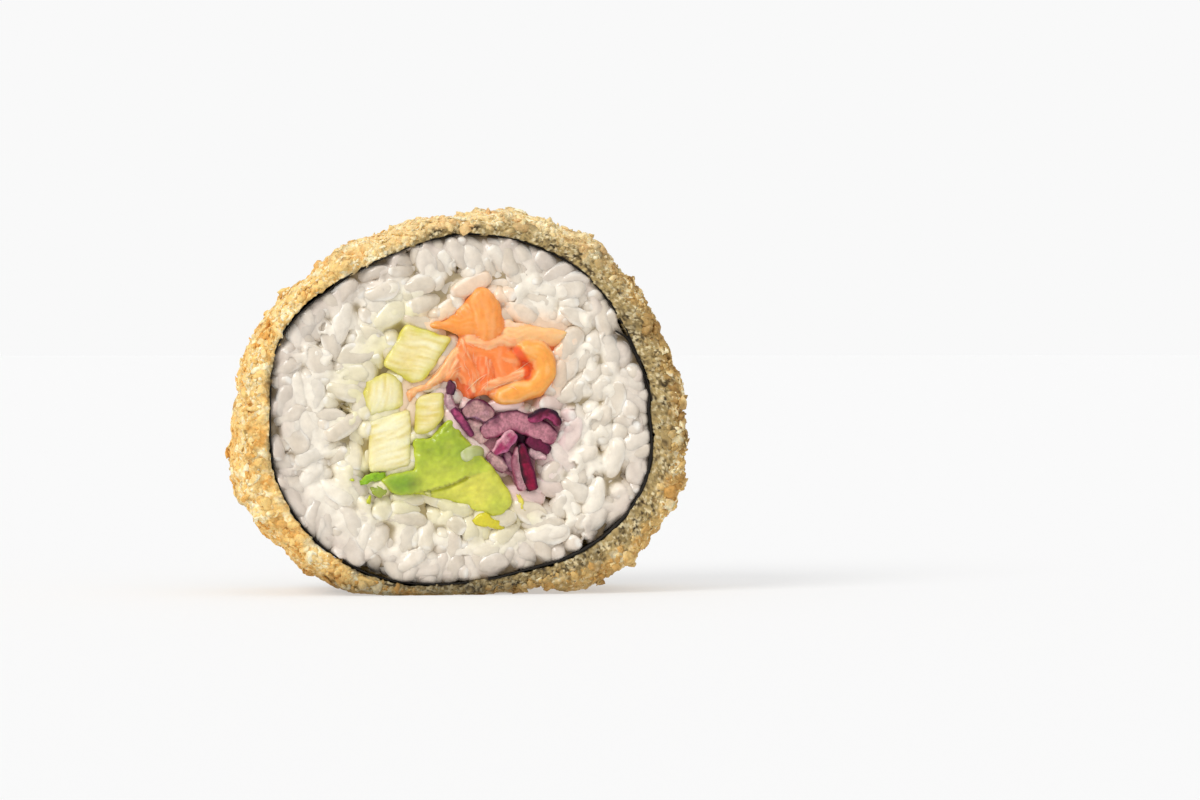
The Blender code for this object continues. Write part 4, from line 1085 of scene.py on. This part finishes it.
def avocadoSides(spots):
    # Positive above the crease, where the flesh is greener, and negative below it.
    line = smoothLine(avocado["crease"], 5)
    distance = lineDistance(spots, line)[0]
    level = np.interp(spots[:, 0], line[:, 0], line[:, 1])
    level = np.where(spots[:, 0] > line[-1, 0], line[-1, 1] + (spots[:, 0] - line[-1, 0]) * 0.25, level)
    return distance, np.where(spots[:, 1] > level, 1, -1)


def makeAvocado(outlines):
    outline = unevenLoop(outlines["avocado"], 0.35, 0.22, 1.2, (78, 79))

    def heightOf(spots, side):
        distance, above = avocadoSides(spots)
        edge = np.maximum(edgeDistance(spots, outline), 0)
        lip = 0.5 * np.exp(-distance / 1.6) * (above > 0) - 0.55 * np.exp(-(distance / 0.55) ** 2) * (above < 0)
        place = facePoints(spots, side)
        crumbly = ease(6.5, 1.0, lineDistance(spots, np.array(avocado["skinSide"]))[0])
        slanted = np.column_stack([spots @ (0.9, 0.4) / 2.2, spots @ (-0.4, 0.9), np.full(len(spots), side)])
        smear = np.abs(softNoise(slanted, 1.3, 70))
        height = 0.3 + lip + 0.4 * softNoise(place, 4.5, 71) + 0.12 * softNoise(place, 1.4, 77) + 0.22 * smear
        height += (0.08 + 0.22 * crumbly) * softNoise(place, 0.7, 72)
        return height - 0.75 * np.exp(-edge / 0.5)

    points, triangles, spots = fillOutline(outline, meshSpacing["avocado"], heightOf, 73)
    distance, above = avocadoSides(spots)
    rind = lineDistance(spots, np.array(avocado["skinSide"]))[0]
    place = facePoints(spots, 1)
    mottle = softNoise(place, 1.6, 74)
    colors = blendColors(avocadoColors["green"], avocadoColors["mid"], ease(1.0, 6.5, rind + mottle))
    low = blendColors(avocadoColors["yellow"], avocadoColors["mid"], 0.5 + 0.5 * softNoise(place, 3.0, 75))
    share = np.where(above > 0, ease(7.0, 11.5, rind) * 0.6, 1 - 0.25 * np.exp(-distance / 0.5))
    colors = blendColors(colors, low, share)
    tail = np.hypot(spots[:, 0] + 9.8, spots[:, 1] + 11.2)
    colors = blendColors(colors, avocadoColors["dark"], ease(4.6, 1.2, tail) * 0.8)
    bruise = np.hypot(spots[:, 0] + 7.4, spots[:, 1] + 11.4) + 0.8 * softNoise(place, 0.7, 76)
    colors = blendColors(colors, avocadoColors["bruise"], ease(1.5, 0.3, bruise) * 0.55)
    colors *= (1 + 0.12 * softNoise(place, 0.6, 87) + 0.1 * softNoise(place, 2.0, 88))[:, None]
    edge = np.exp(-np.maximum(edgeDistance(spots, outline), 0) / 0.5)
    colors = blendColors(colors, avocadoColors["lime"], 0.5 * edge)
    parts = [(points, triangles, colors)]
    shapes, bitTriangles = crumbShapes(len(avocado["bits"]), 3, 0.9, 75)
    for side in (-1, 1):
        for shape, (x, z, length, width, turn, tint) in zip(shapes, avocado["bits"]):
            turn = math.radians(turn)
            along = np.array([math.cos(turn), 0, math.sin(turn)]) * length / 2
            across = np.array([-math.sin(turn), 0, math.cos(turn)]) * width / 2
            bit = shape @ np.array([along, across, [0, 0.3, 0]]) + (x, side * (faceDepth - 0.12), z)
            # These three ways mirror the shape, so its triangles are turned to face out again.
            parts.append((bit, bitTriangles[:, ::-1], np.tile(linearColor(tint), (len(bit), 1))))
    material = wetFlesh("avocadoFlesh", 0.6, 0.07, Roughness=0.3, Subsurface_Weight=0.35,
                        Subsurface_Scale=1.4 * mm, Subsurface_Radius=(0.8, 1.0, 0.25), Coat_Weight=0.3)
    placePiece("avocadoPiece", *joinParts(parts), material, ["avocado"], "avocado_flesh")


def salmonLayers(spots, side):
    # The highest flake wins at each place, so that grooves form where two flakes meet.
    place = facePoints(spots, side)
    warp = np.column_stack([softNoise(place, 2.2, 81), softNoise(place, 2.2, 82)]) * 0.35
    moved = spots + warp
    height = np.full(len(spots), salmon["base"])
    color = np.tile(salmonColors["base"], (len(spots), 1))
    flakes = [(*flake[:3], linearColor(flake[3]), flake[4]) for flake in salmon["flakes"]]
    flakes.append((salmon["curl"], salmon["curlWidth"], salmon["curlLift"], salmonColors["curl"], 0.8))
    for line, width, lift, tint, fibrous in flakes:
        distance, along = lineDistance(moved, smoothLine(line, 5))
        crest = lift - 1.9 * (1 - np.sqrt(np.clip(1 - (distance / width) ** 2 * 0.82, 0, 1)))
        corners = np.asarray(line, float)
        length = np.linalg.norm(np.diff(corners, axis=0), axis=1).sum()
        if len(line) > 3:
            across, down = distance, along * length
        else:
            # The fibres of a short flake run straight from end to end.
            way = (corners[-1] - corners[0]) / np.linalg.norm(corners[-1] - corners[0])
            across, down = (moved - corners[0]) @ np.array([-way[1], way[0]]), (moved - corners[0]) @ way
        grainPlace = np.column_stack([across + lift + 0.15 * np.sin(down), down * 0.2, across * 0 + side + width])
        fibre = fibrous * (0.75 * softNoise(grainPlace, 0.32, 83) + 0.55 * softNoise(grainPlace, 0.8, 86))
        crest = crest + 0.14 * fibre
        higher = (crest > height) & (distance < width * 1.1)
        height = np.where(higher, crest, height)
        shade = blendColors(tint, salmonColors["fat"], 0.06 + 0.75 * fibre)
        shade = blendColors(shade, salmonColors["base"], ease(0.6, 1.05, distance / width) * 0.5 - 0.5 * fibre)
        color = np.where(higher[:, None], shade, color)
    pit = lineDistance(spots, smoothLine(salmon["hollow"], 5))[0]
    depth = ease(salmon["hollowWidth"], 0.35, pit)
    height = height - salmon["hollowDepth"] * depth
    color = blendColors(color, salmonColors["hollow"], depth)
    return height, color


def thinThread(line, level, width, tint):
    # A fine thread lying on the surface: a tube of six sides.
    path = smoothLine(line, 6)
    heights = level(path)
    centres = np.column_stack([path[:, 0], heights, path[:, 1]])
    ways = np.gradient(centres, axis=0)
    ways /= np.linalg.norm(ways, axis=1, keepdims=True)
    side = np.cross(ways, [0, 1, 0])
    side /= np.linalg.norm(side, axis=1, keepdims=True)
    up = np.cross(side, ways)
    girth = width * np.sin(np.linspace(0.25, math.pi - 0.25, len(path)))
    turns = np.linspace(0, 2 * math.pi, 6, endpoint=False)
    rings = centres[:, None] + girth[:, None, None] * (side[:, None] * np.cos(turns)[None, :, None]
                                                       + up[:, None] * np.sin(turns)[None, :, None])
    points = rings.reshape(-1, 3)
    return points, tubeTriangles(len(path), 6)[:, ::-1], np.tile(tint, (len(points), 1))


def makeSalmon(outlines):
    outline = unevenLoop(outlines["salmon"], 0.3, 0.25, 0.9, (80, 89))

    def heightOf(spots, side):
        edge = np.maximum(edgeDistance(spots, outline), 0)
        place = facePoints(spots, side)
        height = salmonLayers(spots, side)[0] + 0.08 * softNoise(place, 0.8, 84)
        return height - 0.5 * np.exp(-edge / 0.4)

    points, triangles, spots = fillOutline(outline, meshSpacing["salmon"], heightOf, 85)
    parts = [(points, triangles, onBothFaces(lambda part, side: salmonLayers(part, side)[1], spots))]
    numbers = np.random.default_rng(88)
    for side in (-1, 1):
        def level(path, side=side):
            return side * (faceDepth + heightOf(path, side) + 0.1)

        for line in salmon["threads"]:
            parts.append(thinThread(line, level, 0.08, salmonColors["thread"]))
        # Torn fibres lie over the fibrous flakes, nearly along them.
        for line, width, _, _, fibrous in salmon["flakes"]:
            path = smoothLine(line, 6)
            for _ in range(int(4 * fibrous * fibrous)):
                index = numbers.integers(0, len(path) - 2)
                way = path[index + 2] - path[index]
                turn = math.atan2(way[1], way[0]) + numbers.normal(0, 0.35)
                step = np.array([math.cos(turn), math.sin(turn)]) * numbers.uniform(0.5, 1.3)
                middle = path[index] + numbers.normal(0, 0.45 * width, 2)
                bend = np.array([-step[1], step[0]]) * numbers.uniform(-0.3, 0.3)
                hair = np.array([middle - step, middle + bend, middle + step])
                if edgeDistance(hair, outline).min() > 0.1:
                    parts.append(thinThread(hair, level, numbers.uniform(0.03, 0.05), salmonColors["thread"]))
    material = wetFlesh("salmonFlesh", 0.8, 0.07, Roughness=0.36, Subsurface_Weight=0.4, Subsurface_Scale=1.4 * mm,
                        Subsurface_Radius=(1.0, 0.45, 0.2), Specular_IOR_Level=0.35, Coat_Weight=0.15)
    placePiece("salmonFlakes", *joinParts(parts), material, ["salmon"], "salmon_flesh")


def makeShred(line, lift, flesh, skinLeft, skinRight, side, seed):
    # A strip of leaf on its side: its cut flesh looks out, and its coloured skins are the long edges.
    path = smoothLine(line, 8)
    path, widths = path[:, :2], path[:, 2]
    count = len(path)
    ways = np.gradient(path, axis=0)
    ways /= np.linalg.norm(ways, axis=1, keepdims=True)
    left = np.column_stack([-ways[:, 1], ways[:, 0]])
    seeds = np.column_stack([path, np.full(count, seed * 3.1)])
    half = widths / 2 * np.clip(np.sin(np.linspace(0.2, math.pi - 0.2, count)) * 3, 0.5, 1)
    profile = np.array([(-1, -2.4), (-1.02, -0.8), (-1, -0.35), (-0.95, -0.12), (-0.86, 0), (-0.72, 0.05), (-0.4, 0.1),
                        (0, 0.07), (0.4, 0.1), (0.72, 0.05), (0.86, 0), (0.95, -0.12), (1, -0.35), (1.02, -0.8),
                        (1, -2.4)])
    rough = 0.14 * softNoise(seeds, 0.9, 91) + 0.1 * softNoise(seeds + 40, 0.45, 90)
    across = (half + rough)[:, None] * profile[None, :, 0]
    x = path[:, :1] + left[:, :1] * across
    z = path[:, 1:] + left[:, 1:] * across
    swell = 0.25 * softNoise(seeds + 5, 1.9, 92)
    ends = np.clip(np.sin(np.linspace(0.06, math.pi - 0.06, count)) * 5, 0, 1)
    high = faceDepth + lift + swell[:, None] + profile[None, :, 1] - 0.5 * (1 - ends)[:, None]
    flat = np.column_stack([x.ravel(), high.ravel(), z.ravel()])
    flat[:, 1] += 0.08 * softNoise(flat + seed, 0.7, 93)
    fromSkin = ((1 - np.abs(profile[None, :, 0])) * half[:, None]).ravel() + 0.3 * softNoise(flat, 0.9, 98)
    flesh, skinLeft, skinRight = (linearColor(value) for value in (flesh, skinLeft, skinRight))
    colors = flesh * (1 + 0.25 * softNoise(flat, 0.5, 94))[:, None]
    skin = np.where(np.tile(profile[:, 0] > 0, count)[:, None], skinLeft, skinRight)
    colors = blendColors(colors, skin, 0.65 * ease(0, 0.7, softNoise(flat, 1.5, 95)))
    colors = blendColors(colors, skin, ease(0.55, 0.1, fromSkin))
    flat[:, 1] *= side
    return flat, tubeTriangles(count, len(profile))[:, ::side], np.clip(colors, 0, 1)


def makeCabbage():
    outline = denseLoop(smoothLine(cabbage["outline"], 2, closed=True), meshSpacing["cabbage"])

    def cavity(spots):
        return ease(1.3, 0.5, lineDistance(spots, smoothLine(cabbage["cavity"], 4))[0])

    def heightOf(spots, side):
        return 0.25 * softNoise(facePoints(spots, side), 1.5, 96) - 1.6 * cavity(spots)

    reach = faceDepth - cabbage["coreSink"]
    points, triangles, spots = fillOutline(outline, meshSpacing["cabbage"], heightOf, 97, reach)
    tint = cabbageColors["flesh"] * (1 + 0.3 * softNoise(facePoints(spots, 1), 0.9, 99))[:, None]
    # The cavity is painted dark as well as sunk: painted shade in the gap between the shreds.
    parts = [(points, triangles, blendColors(tint, cabbageColors["hollow"], cavity(spots)))]
    for side in (-1, 1):
        for number, shred in enumerate(cabbage["shreds"]):
            parts.append(makeShred(*shred, side, number))
    material = wetFlesh("cabbageLeaf", 0.4, 0.3, Roughness=0.38, Subsurface_Weight=0.15, Subsurface_Scale=0.8 * mm,
                        Subsurface_Radius=(1.0, 0.4, 0.7), Specular_IOR_Level=0.3, Coat_Weight=0.06)
    placePiece("cabbageShreds", *joinParts(parts), material, ["red_cabbage"], "cabbage_leaf")


# The camera, the light and the floor

studio = {
    "azimuth": -8.5,
    "elevation": 0.8,
    "distance": 0.634,
    "lens": 118.0,
    "sensor": 36,
    "rightOfAxis": 0.0226,
    "aimHeight": 0.0315,
    "card": "#b5b5b5",
    "cardGlow": 0.445,
    "floorSize": 30,
    "backdrop": "#f9f9f9",
    "ambient": 0.67,
    # Each lamp: the way from the slice to it, how wide it looks in degrees, and its strength.
    "lamps": {"windowLight": ((-0.62, -0.45, 0.62), 30.0, 1.5), "topLight": ((0.15, -0.25, 1.0), 60.0, 0.5)},
}


def makeStudio():
    azimuth, elevation = math.radians(studio["azimuth"]), math.radians(studio["elevation"])
    level = math.cos(elevation)
    back = Vector((math.sin(azimuth) * level, -math.cos(azimuth) * level, math.sin(elevation)))
    right = Vector((math.cos(azimuth), math.sin(azimuth), 0))
    face = Vector((axisPlace[0] * mm, -faceDepth * mm, studio["aimHeight"]))
    camera = bpy.data.objects.new("photoCamera", bpy.data.cameras.new("photoCamera"))
    bpy.context.scene.collection.objects.link(camera)
    camera.data.lens = studio["lens"]
    camera.data.sensor_width = studio["sensor"]
    camera.data.clip_start = 0.01
    aim = face + right * studio["rightOfAxis"]
    camera.location = aim + back * studio["distance"]
    camera.rotation_euler = (-back).to_track_quat("-Z", "Y").to_euler()
    bpy.context.scene.camera = camera

    # Matt white card under so much light that a shadow on it is pale: part of its brightness is its own.
    paper = startMaterial("whitePaper", Base_Color=(*linearColor(studio["card"]), 1), Emission_Color=(1, 1, 1, 1),
                          Emission_Strength=studio["cardGlow"], Roughness=0.8, Specular_IOR_Level=0.1)[0]
    bpy.ops.mesh.primitive_plane_add(size=studio["floorSize"], location=(0, 0, 0))
    floor = bpy.context.object
    floor.name = "paperFloor"
    floor.data.materials.append(paper)

    # The backdrop is as bright as the paper to the eye, and lights the slice more softly.
    world = bpy.data.worlds.new("paleRoom")
    world.use_nodes = True
    tree = world.node_tree
    background = tree.nodes["Background"]
    background.inputs["Color"].default_value = (*linearColor(studio["backdrop"]), 1)
    straight = addNode(tree, "ShaderNodeLightPath").outputs["Is Camera Ray"]
    strength = addNode(tree, "ShaderNodeMapRange", {"Value": straight, "To Min": studio["ambient"], "To Max": 1.0})
    tree.links.new(strength.outputs["Result"], background.inputs["Strength"])
    bpy.context.scene.world = world
    for name, (way, width, power) in studio["lamps"].items():
        lamp = bpy.data.objects.new(name, bpy.data.lights.new(name, "SUN"))
        lamp.data.angle = math.radians(width)
        lamp.data.energy = power
        lamp.location = Vector(way) * 0.6
        lamp.rotation_euler = Vector(way).to_track_quat("Z", "Y").to_euler()
        bpy.context.scene.collection.objects.link(lamp)
    bpy.context.scene.view_settings.view_transform = "Standard"
    print("studio ready")


makeStudio()
outlines = fillingOutlines()
makeSeaweed()
surface = makeCrust()
for crumbName, crumbs in crust["loose"].items():
    scatterCrumbs(crumbName, surface, **crumbs)
makeRice()
makeCucumbers(outlines)
makeAvocado(outlines)
makeSalmon(outlines)
makeCabbage()
